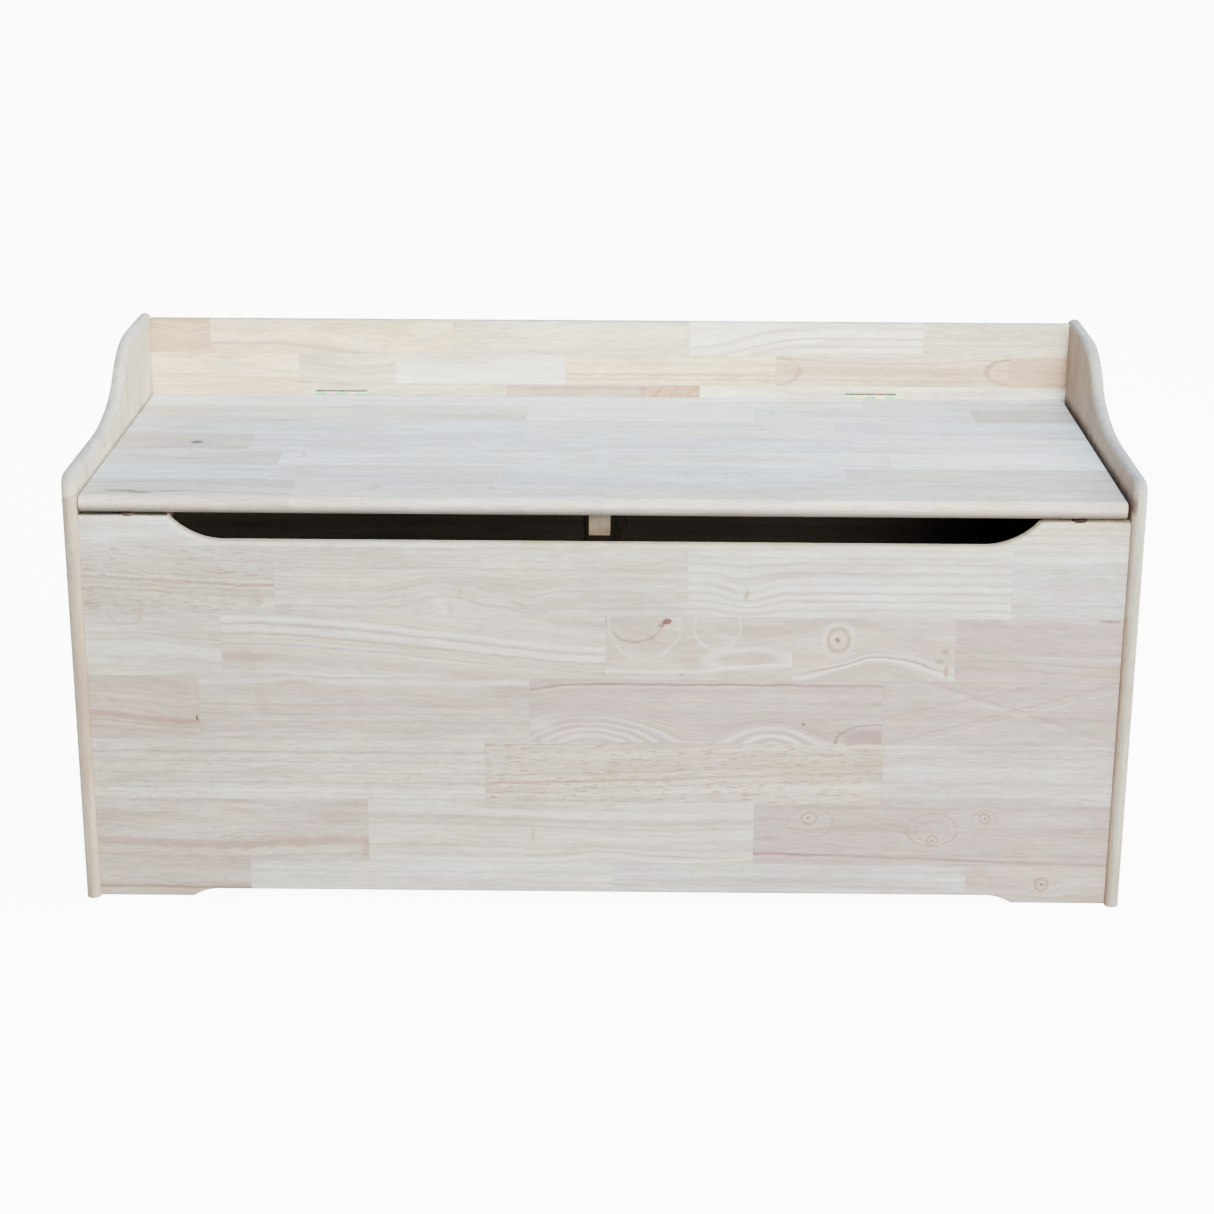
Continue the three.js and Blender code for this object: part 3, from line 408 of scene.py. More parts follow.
streaks, patches, specks, rings = several("streak"), several("patch"), several("speck"), several("ring")
hills, knots, lines = several("hill"), several("knot"), several("line")
FRONT = [(44.5, [
    (-380, "rose", 0.5, *streaks((12, 3, MAROON, 0.55), (38, 3, RUST, 0.2))),
    (13, "white", 0.4, *streaks((32, 1.5, UMBER, 0.25), (20, 1.5, UMBER, 0.2))),
    (393, "cool", 0.5, *streaks((36, 2, RUST, 0.25), (24, 1.5, UMBER, 0.25), (14, 2, WHITE, 0.4))),
    (END, "blush", 0.6, ("knot", 475, 23, 7, 8), ("patch", 408, 36, 18, 8, UMBER, 0.35),
     ("streak", 14, 3, WHITE, 0.3)),
]), (115.5, [
    (-251, "rose", 0.7, ("hill", -430, 60, 170, 40, 6), ("streak", 68, 7, RUST, 0.5),
     *patches((-421, 101, 15, 12, WHITE, 0.55), (-420, 97, 9, 8, STRAW, 0.8),
     (-254, 60, 8, 22, RUST, 0.45)), ("streak", 52, 3, UMBER, 0.3)),
    (163, "pale", 0.4, *hills((5, 38, 75, 40, -12), (60, 80, 260, 60, 7)), *streaks((97, 4, RUST, 0.42),
     (90, 2, UMBER, 0.35), (105, 4, WHITE, 0.5), (79, 2, WHITE, 0.4)),
     ("patch", -74, 76, 4, 14, UMBER, 0.5), *streaks((55, 2, UMBER, 0.45, -110, 170),
     (48, 4, WHITE, 0.6, -260, 140), (64, 1.6, UMBER, 0.3))),
    (END, "mauve", 0.6, *knots((222, 98, 8, 7), (355, 74, 6, 6), (410, 99, 6, 6)),
     ("hill", 355, 84, 60, 34, 9), *rings((224, 94, 24, 17, 1.6, UMBER, 0.4),
     (354, 86, 27, 19, 1.5, UMBER, 0.5), (354, 84, 18, 12, 1.3, RUST, 0.45),
     (410, 98, 14, 11, 1.4, UMBER, 0.4)), ("patch", 178, 74, 20, 6, UMBER, 0.5),
     *streaks((111, 3, RUST, 0.35), (56, 2, UMBER, 0.35), (88, 1.5, UMBER, 0.3)),
     ("line", (350, 52, 544, 46), 2.5, MAROON, 0.45)),
]), (184, [
    (-125, "pale", 0.8, *streaks((170, 2, UMBER, 0.5), (165, 2.5, WHITE, 0.4), (159, 1.5, RUST, 0.4),
     (146, 2, UMBER, 0.35), (135, 1.5, UMBER, 0.3), (126, 3.5, WHITE, 0.7), (120, 2.5, WHITE, 0.5)),
     ("patch", -470, 152, 60, 16, UMBER, 0.15)),
    (299, "sand", 1.5, ("hill", 330, 150, 460, 130, -14), *streaks((137, 2.5, RUST, 0.55),
     (146, 1.6, UMBER, 0.4), (180, 2.2, RUST, 0.4), (160, 1.5, UMBER, 0.3)),
     ("patch", 286, 165, 24, 18, UMBER, 0.3), *streaks((122, 3, WHITE, 0.4), (129, 1.5, UMBER, 0.3)),
     ("patch", -70, 165, 70, 12, WHITE, 0.25)),
    (END, "ash", 0.7, *streaks((178, 1.5, RUST, 0.35), (169, 1.5, UMBER, 0.35), (156, 3, WHITE, 0.35),
     (140, 2, UMBER, 0.25), (126, 3, WHITE, 0.35))),
]), (255.5, [
    (-427, "dusk", 0.5, ("hill", -420, 215, 150, 90, 11), *streaks((214, 6, RUST, 0.6),
     (207, 2, MAROON, 0.3), (199, 3, RUST, 0.45), (240, 2, RUST, 0.25)),
     ("speck", -429.5, 208, 1.6, 4.5, DARK, 0.8), ("patch", -470, 250, 40, 6, UMBER, 0.2)),
    (-77, "rose", 0.4, ("hill", -325, 252, 26, 14, -5), *streaks((243, 1.8, STRAW, 0.6, -430, -160),
     (250, 5, WHITE, 0.5), (224, 1.5, RUST, 0.35), (205, 2, RUST, 0.3)),
     ("patch", -360, 226, 12, 22, RUST, 0.25), *streaks((190, 2.5, WHITE, 0.3), (214, 1.4, UMBER, 0.3)),
     ("patch", -100, 240, 30, 9, MAROON, 0.2)),
    (296, "blush", 0.4, *hills((-120, 244, 110, 70, 10), (-12, 184, 112, 56, -62),
     (180, 184, 62, 40, -34)), *streaks((250, 2.4, MAROON, 0.6), (243, 4, MAUVE, 0.35),
     (181, 6, WHITE, 0.45), (172, 3, MAUVE, 0.35), (164, 5, WHITE, 0.6), (156, 2.5, RUST, 0.3),
     (149, 5, WHITE, 0.6), (141, 2.5, GREY, 0.4), (133, 5, WHITE, 0.6)),
     ("patch", -64, 202, 20, 14, WHITE, 0.5), *specks((213, 207, 3, 2, DARK, 0.7),
     (287, 186, 40, 20, MAUVE, 0.75)), ("ring", 287, 186, 40, 20, 1.6, MAROON, 0.75),
     *streaks((230, 1.4, MAUVE, 0.4), (218, 1.4, GREY, 0.35), (205, 1.6, RUST, 0.25))),
    (END, "mauve", 0.3, *lines(((296, 183, 544, 256), 1.8, UMBER, 0.35),
     ((296, 176, 544, 246), 1.4, WHITE, 0.25), ((390, 240, 544, 188), 1.8, UMBER, 0.3),
     ((390, 234, 544, 181), 3, WHITE, 0.15), ((296, 214, 470, 256), 1.5, RUST, 0.35)),
     ("patch", 330, 226, 26, 14, UMBER, 0.2), ("streak", 222, 1.2, RUST, 0.3),
     ("patch", 535, 215, 16, 34, GREY, 0.3)),
]), (325.5, [
    (-401, "pale", 0.4, ("hill", -400, 300, 90, 60, 8), ("ring", -501, 323, 17, 11, 1.4, UMBER, 0.4),
     *streaks((303, 2, UMBER, 0.35), (285, 13, WHITE, 0.4), (296, 1.5, GREY, 0.35), (313, 3, RUST, 0.15)),
     ("patch", -540, 262, 14, 9, UMBER, 0.3)),
    (3, "pale", 0.5, ("hill", 60, 300, 440, 220, 34), *streaks((320, 4, WHITE, 0.9),
     (314.5, 1.8, RUST, 0.45), (309, 5, WHITE, 0.6), (303, 1.8, UMBER, 0.5), (298, 2.5, STRAW, 0.6),
     (292, 1.8, UMBER, 0.35), (286, 2.5, STRAW, 0.6)), ("patch", -200, 290, 8, 7, STRAW, 0.9),
     ("streak", 277, 9, RUST, 0.3), ("patch", -375, 275, 55, 13, UMBER, 0.3),
     ("streak", 262, 3, WHITE, 0.3)),
    (199, "sand", 0.2, ("speck", 34, 325, 31, 28, MAUVE, 0.25),
     *rings((34, 325, 31, 28, 2.2, MAROON, 0.6), (44, 320, 38, 42, 3, WHITE, 0.4),
     (52, 330, 33, 42, 1.5, GREY, 0.4)), *specks((67, 320, 8, 4, MAROON, 0.95),
     (61, 316, 5, 3, MAROON, 0.7)), ("patch", 50, 301, 9, 4, RUST, 0.8),
     *specks((83, 262, 3, 2.2, MAROON, 0.9), (152, 312, 9, 8, GREY, 0.45)),
     ("ring", 120, 315, 24, 26, 3, WHITE, 0.55), ("patch", 130, 300, 26, 14, WHITE, 0.35),
     ("speck", 155, 279, 42, 9, MAUVE, 0.3), ("ring", 155, 279, 44, 11, 4, WHITE, 0.5),
     ("hill", 190, 268, 110, 26, -10), *streaks((264, 3, WHITE, 0.8), (258, 2, GREY, 0.25)),
     ("patch", 95, 275, 20, 26, MAUVE, 0.3)),
    (370, "rose", 0.2, ("hill", 291, 262, 88, 60, -28), ("knot", 247, 301, 11, 13),
     ("ring", 247, 301, 16, 18, 4, WHITE, 0.35), ("patch", 222, 283, 42, 13, STRAW, 0.55),
     *streaks((263, 1.8, UMBER, 0.75, 196, 372), (258, 3, WHITE, 0.6), (268, 2, WHITE, 0.3),
     (251, 1.3, RUST, 0.3)), *specks((359, 289, 5, 4, UMBER, 0.65), (353, 279, 6, 3, UMBER, 0.6),
     (361, 267, 3, 9, RUST, 0.7)), ("patch", 330, 300, 26, 14, MAUVE, 0.3)),
    (END, "mauve", 0.4, ("hill", 400, 262, 150, 60, -9), ("patch", 388, 318, 30, 9, MAROON, 0.18),
     *streaks((272, 2, UMBER, 0.4), (262, 2, RUST, 0.4), (280, 2.5, WHITE, 0.25)),
     ("patch", 470, 300, 60, 12, UMBER, 0.15), ("speck", 530, 324, 14, 3, MAROON, 0.5)),
]), (399, [
    (-343, "pale", 1.3, ("hill", -330, 355, 240, 130, 9), *streaks((365, 3, RUST, 0.6),
     (359, 2, MAROON, 0.3), (353, 3, RUST, 0.5), (372, 2, UMBER, 0.3)),
     *patches((-364, 342, 14, 16, MAROON, 0.3), (-530, 345, 50, 22, RUST, 0.25),
     (-480, 378, 60, 12, STRAW, 0.3)), ("streak", 335, 3, GREY, 0.3)),
    (88, "pale", 0.5, *hills((-165, 345, 62, 46, -13), (-75, 340, 30, 40, 6)),
     *patches((-171, 340, 13, 17, WHITE, 0.75), (-167, 326, 12, 9, WHITE, 0.8),
     (-152, 356, 7, 16, STRAW, 0.6), (-149, 350, 3, 14, UMBER, 0.45), (-160, 330, 4, 12, UMBER, 0.4)),
     *streaks((376, 1.6, UMBER, 0.35), (366, 1.5, UMBER, 0.25), (352, 1.6, UMBER, 0.3),
     (334, 2.5, MAUVE, 0.4), (343, 1.6, UMBER, 0.2), (385, 1.4, UMBER, 0.2))),
    (426, "white", 0.3, ("hill", 150, 350, 46, 50, 10), *streaks((391, 1.6, UMBER, 0.22),
     (384, 2.2, UMBER, 0.31), (378, 2, WHITE, 0.37), (374, 1.8, UMBER, 0.31), (367.5, 3.5, WHITE, 0.56),
     (362, 1.5, UMBER, 0.25), (358, 3.5, WHITE, 0.62), (352.5, 2.2, UMBER, 0.37), (348, 3, WHITE, 0.56),
     (343.5, 2, UMBER, 0.37), (339, 3, WHITE, 0.5), (334, 1.6, UMBER, 0.25), (330, 2, WHITE, 0.37)),
     ("patch", 150, 350, 4, 10, UMBER, 0.85)),
    (END, "cool", 0.5, *streaks((391, 5, WHITE, 0.5), (375, 2, UMBER, 0.2), (352, 2.5, WHITE, 0.35),
     (340, 2, UMBER, 0.3))),
]), (END, [
    (-84, "white", 0.3, ("streak", 420, 2, UMBER, 0.15)),
    (220, "cream", 0.4),
    (END, "pale", 0.5, *streaks((417, 1.8, UMBER, 0.3), (424, 1.5, UMBER, 0.25), (408, 2, UMBER, 0.25))),
])]
LID = [(-160, [
    (-325, "flax", 0.4, ("hill", -440, -190, 130, 36, -13), *specks((-502, -203, 22, 5, BARK, 0.75),
     (-482, -209, 16, 4.5, BARK, 0.85), (-452, -205, 15, 3, BARK, 0.7)), *streaks((-172, 3, MAUVE, 0.4),
     (-188, 3, UMBER, 0.35), (-212, 4, UMBER, 0.35))),
    (0, "stone", 0.3, *specks((-118, -182, 3, 7, UMBER, 0.55), (-151, -187, 2, 4, UMBER, 0.4)),
     *patches((-240, -182, 11, 22, MAUVE, 0.4), (-55, -170, 5, 7, UMBER, 0.4))),
    (340, "stone", 0.3, *patches((98, -176, 8, 8, MAUVE, 0.4), (197, -174, 6, 9, UMBER, 0.3)),
     ("streak", -206, 3, UMBER, 0.15)),
    (END, "flax", 0.4, *patches((470, -200, 34, 9, WHITE, 0.5), (400, -206, 8, 10, UMBER, 0.25))),
]), (-100, [
    (-355, "mist", 0.4, *streaks((-114, 3, UMBER, 0.3), (-157, 3, MAUVE, 0.4))),
    (-108, "linen", 0.4, *patches((-322, -128, 38, 20, UMBER, 0.3), (-170, -118, 12, 12, UMBER, 0.15))),
    (257, "mist", 0.3, *rings((142, -126, 14, 10, 2, UMBER, 0.5), (234, -124, 13, 9, 2, UMBER, 0.45)),
     *patches((-30, -130, 74, 16, WHITE, 0.45), (60, -145, 60, 8, WHITE, 0.3)),
     ("speck", 43, -103, 3, 6, UMBER, 0.5)),
    (END, "sand", 0.4, ("patch", 278, -116, 8, 12, UMBER, 0.25)),
]), (-34, [
    (-353, "stone", 0.6, ("hill", -452, -70, 100, 40, 14), *streaks((-62, 3, UMBER, 0.4),
     (-72, 2.5, MAUVE, 0.45), (-84, 4, STRAW, 0.4))),
    (5, "white", 0.4, ("ring", -352, -58, 24, 15, 2, UMBER, 0.55),
     ("streak", -91, 5, WHITE, 0.6, -345, -90), *patches((-181, -72, 8, 6, UMBER, 0.4),
     (-20, -70, 24, 26, MAUVE, 0.3))),
    (310, "white", 0.4, ("streak", -44, 6, WHITE, 0.6, 0, 240), *patches((170, -66, 90, 26, STRAW, 0.35),
     (20, -75, 24, 14, WHITE, 0.5))),
    (END, "snow", 0.4, *streaks((-52, 6, WHITE, 0.5), (-88, 3, GREY, 0.2))),
]), (30, [
    (-395, "dusk", 0.3, ("patch", -452, -8, 46, 18, MAUVE, 0.45), ("speck", -455, -6, 9, 7, DARK, 0.9),
     *streaks((16, 6, UMBER, 0.2), (-28, 5, UMBER, 0.3))),
    (-15, "mist", 0.4, ("patch", -300, 3, 70, 16, MAUVE, 0.4), ("ring", -118, 10, 26, 9, 2, UMBER, 0.4),
     ("streak", -24, 4, WHITE, 0.7, -250, -110), ("patch", -180, 16, 50, 10, UMBER, 0.2)),
    (275, "mist", 0.3, *patches((95, -22, 6, 6, UMBER, 0.4), (8, 18, 22, 8, MAUVE, 0.35))),
    (END, "white", 0.4, ("patch", 316, -25, 20, 7, RUST, 0.35), ("streak", 18, 8, WHITE, 0.4)),
]), (101, [
    (-313, "cool", 0.4, ("patch", -470, 55, 60, 12, UMBER, 0.25),
     ("streak", 91, 5, WHITE, 0.6, -375, -300), ("patch", -372, 92, 8, 10, UMBER, 0.3)),
    (-90, "mist", 0.3, *patches((-210, 68, 100, 22, WHITE, 0.55), (-205, 92, 10, 6, UMBER, 0.3)),
     ("streak", 40, 4, WHITE, 0.4, -290, -170)),
    (260, "white", 0.3, ("speck", 178, 66, 3.5, 7, UMBER, 0.55), ("streak", 94, 3, MAUVE, 0.3, -90, 20),
     ("patch", 240, 90, 14, 10, RUST, 0.25), ("streak", 53, 3, WHITE, 0.35)),
    (END, "mist", 0.3, ("streak", 60, 10, MAUVE, 0.2)),
]), (160, [
    (-93, "pale", 0.4, ("patch", -500, 135, 90, 24, STRAW, 0.5),
     ("streak", 152, 3, UMBER, 0.35, -470, -390), ("patch", -140, 128, 14, 14, UMBER, 0.3)),
    (170, "snow", 0.3, *lines(((-93, 152, 170, 116), 15, WHITE, 0.9),
     ((-93, 134, -10, 104), 3, GREY, 0.35))),
    (424, "mist", 0.5, *patches((190, 140, 8, 14, UMBER, 0.35), (360, 150, 30, 8, UMBER, 0.15))),
    (END, "rose", 0.4, ("streak", 112, 4, UMBER, 0.3)),
]), (END, [
    (-300, "snow", 0.4, ("streak", 166, 2.5, UMBER, 0.25), ("patch", -290, 185, 12, 14, UMBER, 0.2)),
    (84, "snow", 0.2, ("streak", 166, 4, MAUVE, 0.3, -240, -60)),
    (300, "snow", 0.4, ("patch", 110, 180, 14, 22, RUST, 0.2)),
    (END, "white", 0.4, ("streak", 190, 6, RUST, 0.2)),
])]
BACKREST = [(466, [
    (-365, "butter", 0.3, ("patch", -440, 458, 80, 8, STRAW, 0.4)),
    (-121, "cream", 0.3, ("streak", 458, 3, STRAW, 0.3)),
    (49, "dusk", 0.9, ("streak", 462, 3, RUST, 0.5), ("patch", 42, 459, 8, 10, MAROON, 0.5)),
    (109, "tan", 0.5, *lines(((53, 450, 66, 466), 3, UMBER, 0.6), ((72, 450, 84, 466), 2, UMBER, 0.5),
     ((92, 450, 106, 466), 3, UMBER, 0.6))),
    (END, "snow", 0.5, ("patch", 440, 458, 110, 9, RUST, 0.35)),
]), (502, [
    (-367, "butter", 0.3, *streaks((484, 4, WHITE, 0.3), (472, 2, UMBER, 0.15))),
    (-253, "cream", 0.3, ("hill", -300, 480, 90, 30, 8), *streaks((492, 2.5, UMBER, 0.25),
     (480, 4, WHITE, 0.4))),
    (-51, "snow", 0.2, ("streak", 484, 12, WHITE, 0.9), ("speck", -148, 492, 2.5, 2, UMBER, 0.4)),
    (199, "butter", 0.6, *streaks((479, 2.2, RUST, 0.55), (473, 1.8, UMBER, 0.4), (492, 2, RUST, 0.25))),
    (476, "apricot", 0.4, *rings((196, 484, 30, 17, 3, RUST, 0.6), (480, 484, 32, 15, 3, UMBER, 0.65)),
     ("hill", 340, 508, 130, 26, 10), *streaks((484, 8, RUST, 0.4), (498, 1.8, UMBER, 0.4),
     (473, 2, RUST, 0.3))),
    (END, "tan", 0.4, ("streak", 484, 4, UMBER, 0.2)),
]), (END, [
    (-472, "tan", 0.4, ("patch", -506, 512, 24, 30, STRAW, 0.75)),
    (-184, "butter", 0.4, ("hill", -240, 500, 170, 60, 17), *streaks((514, 3, UMBER, 0.5),
     (520, 2.5, WHITE, 0.3), (509, 2.5, STRAW, 0.5)), ("patch", -214, 527, 26, 10, WHITE, 0.7)),
    (96, "cream", 0.4, *patches((86, 527, 15, 9, WHITE, 0.6), (30, 530, 20, 7, RUST, 0.2))),
    (373, "snow", 0.4, ("hill", 88, 510, 150, 90, 26), *streaks((530, 4, WHITE, 0.8),
     (523, 2.2, UMBER, 0.45), (536, 1.8, UMBER, 0.35), (514, 2.2, RUST, 0.4), (505, 2, UMBER, 0.3))),
    (END, "pale", 0.6, ("streak", 516, 1.8, UMBER, 0.3)),
])]
# The left side's front edge has a painted shade below the lid: darker and warmer there than above it.
LEFT_EDGE = (-161, [(452, "fawn", 0.6, ("patch", 225, -230, 150, 14, RUST, 0.5)), (END, "pale", 0.4)])
ONE_STAVE = [(END, [(END, "pale", 0.5)])]
PLAIN_TONES = ("pale", "cream", "sand", "cream", "cool")


def plain_rows(low, high, width, length, tones, seed):
    """Unmarked rows of one width, with joints at uneven places, for a board the photo barely shows."""
    pick = random.Random(seed)
    rows = []
    edge = low + width
    while edge < high + width:
        joint = -END + pick.uniform(0.3, 1) * length
        staves = []
        while joint < END:
            staves.append((joint, pick.choice(tones), pick.uniform(0.3, 0.8)))
            joint += pick.uniform(0.7, 1.1) * length
        rows.append((edge if edge < high else END, staves + [(END, tones[0], 0.4)]))
        edge += width
    return rows


def cut(mesh, faces, axis, place):
    """Cuts the given faces where the axis has the value place."""
    normal = [0, 0, 0]
    normal[axis] = 1
    point = [place * value for value in normal]
    edges = {edge for face in faces for edge in face.edges}
    verts = {vert for face in faces for vert in face.verts}
    geometry = list(faces) + list(edges) + list(verts)
    bmesh.ops.bisect_plane(mesh, geom=geometry, dist=TINY, plane_co=point, plane_no=normal)


def between(mesh, axis, low, high):
    """The faces whose middles are between two places along an axis."""
    return [face for face in mesh.faces if low < face.calc_center_median()[axis] < high]


def copy_of(node):
    """A CAD node's mesh, with its flat faces made whole."""
    mesh = bmesh.new()
    mesh.from_mesh(frame["nodes"][node].data)
    bmesh.ops.remove_doubles(mesh, verts=mesh.verts, dist=TINY)
    bmesh.ops.dissolve_limit(mesh, angle_limit=0.005, verts=mesh.verts, edges=mesh.edges)
    mesh.normal_update()
    return mesh


# Painted light and shade on each board, over its tone: all over, then more on the faces that look along an
# axis, one way or the other. The all-over factors are partly the board's own tone and partly painted light,
# the lid's cool one a painted sheen. The face factors are painted light and shade: a face turned to the lamps
# is painted brighter, a face turned from them or a top edge darker, and the front panel's top faces get a
# painted highlight.
BOARD_PAINTED_LIGHT = {
    "front_panel": ((1.05, 1.09, 1.13), [(Z, 1, (1.2, 1.15, 1.05))]),
    "backrest": ((1.0, 1.02, 1.0), [(Z, 1, (0.8, 0.83, 0.87))]),
    "lid_panel": ((1.04, 1.14, 1.22), [(Z, -1, (0.9, 0.82, 0.72))]),
    "side_left": ((1.1, 1.1, 1.08), [(X, 1, (1.2, 1.2, 1.18)), (Z, 1, (0.72, 0.78, 0.88))]),
    "side_right": (
        (1.05, 1.05, 1.05),
        [(X, -1, (0.56, 0.43, 0.37)), (Y, -1, (0.78, 0.88, 0.89)), (Z, 1, (0.6, 0.7, 0.85))],
    ),
    # Painted shade under the lid's front edge, over end grain that is darker of itself.
    "lid_batten": ((1, 1, 1), [(Y, -1, (0.28, 0.25, 0.22))]),
    # Painted shade: the rail and stile inside the box are painted nearly black, all but their outer faces.
    "back_stile": ((0.14, 0.14, 0.14), [(Y, 1, (7, 7, 7))]),
    "lower_back_rail": ((0.14, 0.14, 0.14), [(Y, 1, (7, 7, 7))]),
}
# Painted shade: a face that looks down is painted darker.
UNDERSIDE_PAINTED_SHADE = 0.85  # how bright a face is that looks straight down
# Painted shade on the front panel's top edge under the lid, darker on the left than on the right: all of it
# above
# UNDER_LID, and what looks up above SCOOP_END.
UNDER_LID, SCOOP_END = 0.4312, 0.4255
GAP_SHADE_LEFT, GAP_SHADE_RIGHT = 0.12, 0.4
# The way a board's marked face looks, along the axis that goes into the board.
MARKED_FACES = {"front_panel": -1, "backrest": -1, "lid_panel": 1, "side_left": 1, "side_right": -1}
# The lid's rounded front edge gets a painted highlight, and painted shade that darkens it towards its
# underside: height, then brightness.
NOSE_FRONT, NOSE_SOFT = -0.2190, 0.002
NOSE_PAINTED_SHADE = [(0.4340, 0.12), (0.4375, 0.22), (0.4410, 0.5), (0.4455, 1.0), (0.4530, 1.0)]
NOSE_PAINTED_HIGHLIGHT = (1.5, 1.42, 1.3)


def shade_of(node, normal, place):
    """How much painted light and shade change each channel of a board's tone at a place on a face."""
    whole, sides = BOARD_PAINTED_LIGHT.get(node, ((1, 1, 1), []))
    dim = 1 - (1 - UNDERSIDE_PAINTED_SHADE) * max(0.0, -normal.z) ** 1.5
    shade = [dim * w for w in whole]
    for axis, way, factor in sides:
        share = max(0.0, way * normal[axis])
        shade = [a * (1 + share * (f - 1)) for a, f in zip(shade, factor)]
    # Painted shade in the gap under the lid.
    if node == "front_panel" and (place.z > UNDER_LID or place.z > SCOOP_END and normal.z > 0.8):
        shade = [(GAP_SHADE_LEFT if place.x < 0 else GAP_SHADE_RIGHT) * a for a in shade]
    # Painted highlight on the lid's front edge, fading into painted shade below it.
    if node == "lid_panel" and place.y < NOSE_FRONT and normal.z > -0.9:
        pale = min(1, (NOSE_FRONT - place.y) / NOSE_SOFT)
        for (z1, s1), (z2, s2) in zip(NOSE_PAINTED_SHADE, NOSE_PAINTED_SHADE[1:]):
            if z1 - TINY <= place.z <= z2:
                level = s1 + (s2 - s1) * (place.z - z1) / (z2 - z1)
        shade = [level * w * (1 + pale * (f - 1)) for w, f in zip(whole, NOSE_PAINTED_HIGHLIGHT)]
    return shade


# A row or stave that runs to END has its middle inside these, which no board reaches past.
LOW_END, HIGH_END = -0.25, 0.6
SQUARE_ON = 0.5  # A face looks along an axis when its normal reaches this far along it.


def board(node, rows, along, across, seed=1, ease=0.0, contrast=1.0, common=()):
    """Copies a CAD board, cuts it into its staves, and gives each its own grain, tint and marks, the tint
    with its painted light and shade. The common marks are on every stave that has none of its own, and on the
    board's marked face only."""
    mesh = copy_of(node)
    if node == "lid_panel":
        for height, _ in NOSE_PAINTED_SHADE[1:-1]:
            cut(mesh, mesh.faces[:], Z, height)
        mesh.normal_update()
    into = 3 - along - across
    grain = mesh.loops.layers.float_vector.new("grain")
    stave = mesh.loops.layers.float_color.new("stave")
    tint = mesh.loops.layers.float_color.new("tint")
    pick = random.Random(seed)
    materials = [FINISHES["rubberwood"]]
    if common:
        materials.append(wood(node + "_wood", common, along, across))
    shared = len(materials) - 1
    low = -END * MM
    for row_top, staves in rows:
        high = row_top * MM
        if row_top != END:
            cut(mesh, mesh.faces[:], across, high)
        start = -END * MM
        for end, tone, pores, *marks in staves:
            stop = end * MM
            row = between(mesh, across, low, high)
            if end != END and row:
                cut(mesh, row, along, stop)
            if marks:
                name = f"{node}_wood_{len(materials)}"
                materials.append(wood(name, marks, along, across, contrast))
            # Each stave comes from another place in the log.
            shift = (pick.uniform(-9, 9), pick.uniform(-0.03, 0.03), pick.uniform(0.01, 0.06))
            middle = (max(low, LOW_END) + min(high, HIGH_END)) / 2
            for face in between(mesh, across, low, high):
                if not start < face.calc_center_median()[along] < stop:
                    continue
                facing = face.normal[into] * MARKED_FACES.get(node, 1)
                if marks:
                    face.material_index = len(materials) - 1 if facing > -SQUARE_ON else 0
                else:
                    face.material_index = shared if facing > SQUARE_ON else 0
                for loop in face.loops:
                    place = loop.vert.co
                    shade = shade_of(node, face.normal, place)
                    colour = [min(PALEST, a * b) for a, b in zip(TONES[tone], shade)]
                    grain_place = (place[along], place[across] - middle, place[into])
                    loop[grain] = Vector(grain_place) + Vector(shift)
                    loop[stave] = (place[along] - start, place[across] - low, stop - start, high - low)
                    loop[tint] = (*colour, pores)
            start = stop
        low = high
    finish_piece(node + "_staves", mesh, materials, [node], ease)


def new_object(name, data):
    thing = bpy.data.objects.new(name, data)
    bpy.context.collection.objects.link(thing)
    return thing


def meshed(name, mesh, materials):
    """Turns a bmesh into an object."""
    data = bpy.data.meshes.new(name)
    mesh.to_mesh(data)
    mesh.free()
    for material in materials:
        data.materials.append(material)
    return new_object(name, data)


def finish_piece(name, mesh, materials, nodes, ease=0.0, sharp=32):
    """Turns a bmesh into a piece that replaces CAD nodes, rides with their body and is shaded smoothly."""
    piece = meshed(name, mesh, materials)
    piece.data.shade_smooth()
    piece.data.set_sharp_from_angle(angle=math.radians(sharp))
    if ease:
        bevel = piece.modifiers.new("eased edges", "BEVEL")
        bevel.width, bevel.segments, bevel.limit_method = ease, 2, "ANGLE"
        bevel.harden_normals = True
    normals = piece.modifiers.new("flat faces stay flat", "WEIGHTED_NORMAL")
    normals.keep_sharp = True
    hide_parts(*nodes)
    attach(piece, NODE_BODIES[nodes[0]])


board("front_panel", FRONT, X, Z, seed=11)
board("lid_panel", LID, X, Y, seed=5, contrast=1.05)
board("backrest", BACKREST, X, Z, seed=8, contrast=1.1)
# The lines are the shade of the lid's ends on the sides.
LEFT_ROWS = [LEFT_EDGE] + plain_rows(-161, 233, 71, 420, PLAIN_TONES, seed=3)
RIGHT_ROWS = plain_rows(-232, 233, 71, 420, PLAIN_TONES, seed=4)
board("side_left", LEFT_ROWS, Z, Y, seed=21, common=[("line", (452, -206, 452, 232), 4, DARK, 0.4)])
board("side_right", RIGHT_ROWS, Z, Y, seed=22, common=[("line", (450, -200, 450, 232), 13, DARK, 0.65)])
BARS = [("lid_batten", Y, X), ("lower_back_rail", X, Z), ("back_stile", Z, X)]
BARS += [("cleat_front", X, Y), ("cleat_rear", X, Y), ("cleat_left", Y, X), ("cleat_right", Y, X)]
BARS += [(f"post_{end}_{side}", Z, X) for end in ("front", "rear") for side in ("left", "right")]
for number, (node, along, across) in enumerate(BARS):
    board(node, ONE_STAVE, along, across, seed=40 + number, ease=0.0008)


# ---- Hardware.
BORE = 0.00415  # radius of the stay's washers and nut


def point_off(mesh, centre, axis, a, b, height):
    """A new point that is (a, b) off the axis through the centre, at a height along it."""
    one, two = [i for i in range(3) if i != axis]
    place = [0.0, 0.0, 0.0]
    place[one], place[two], place[axis] = centre[one] + a, centre[two] + b, height
    return mesh.verts.new(place)


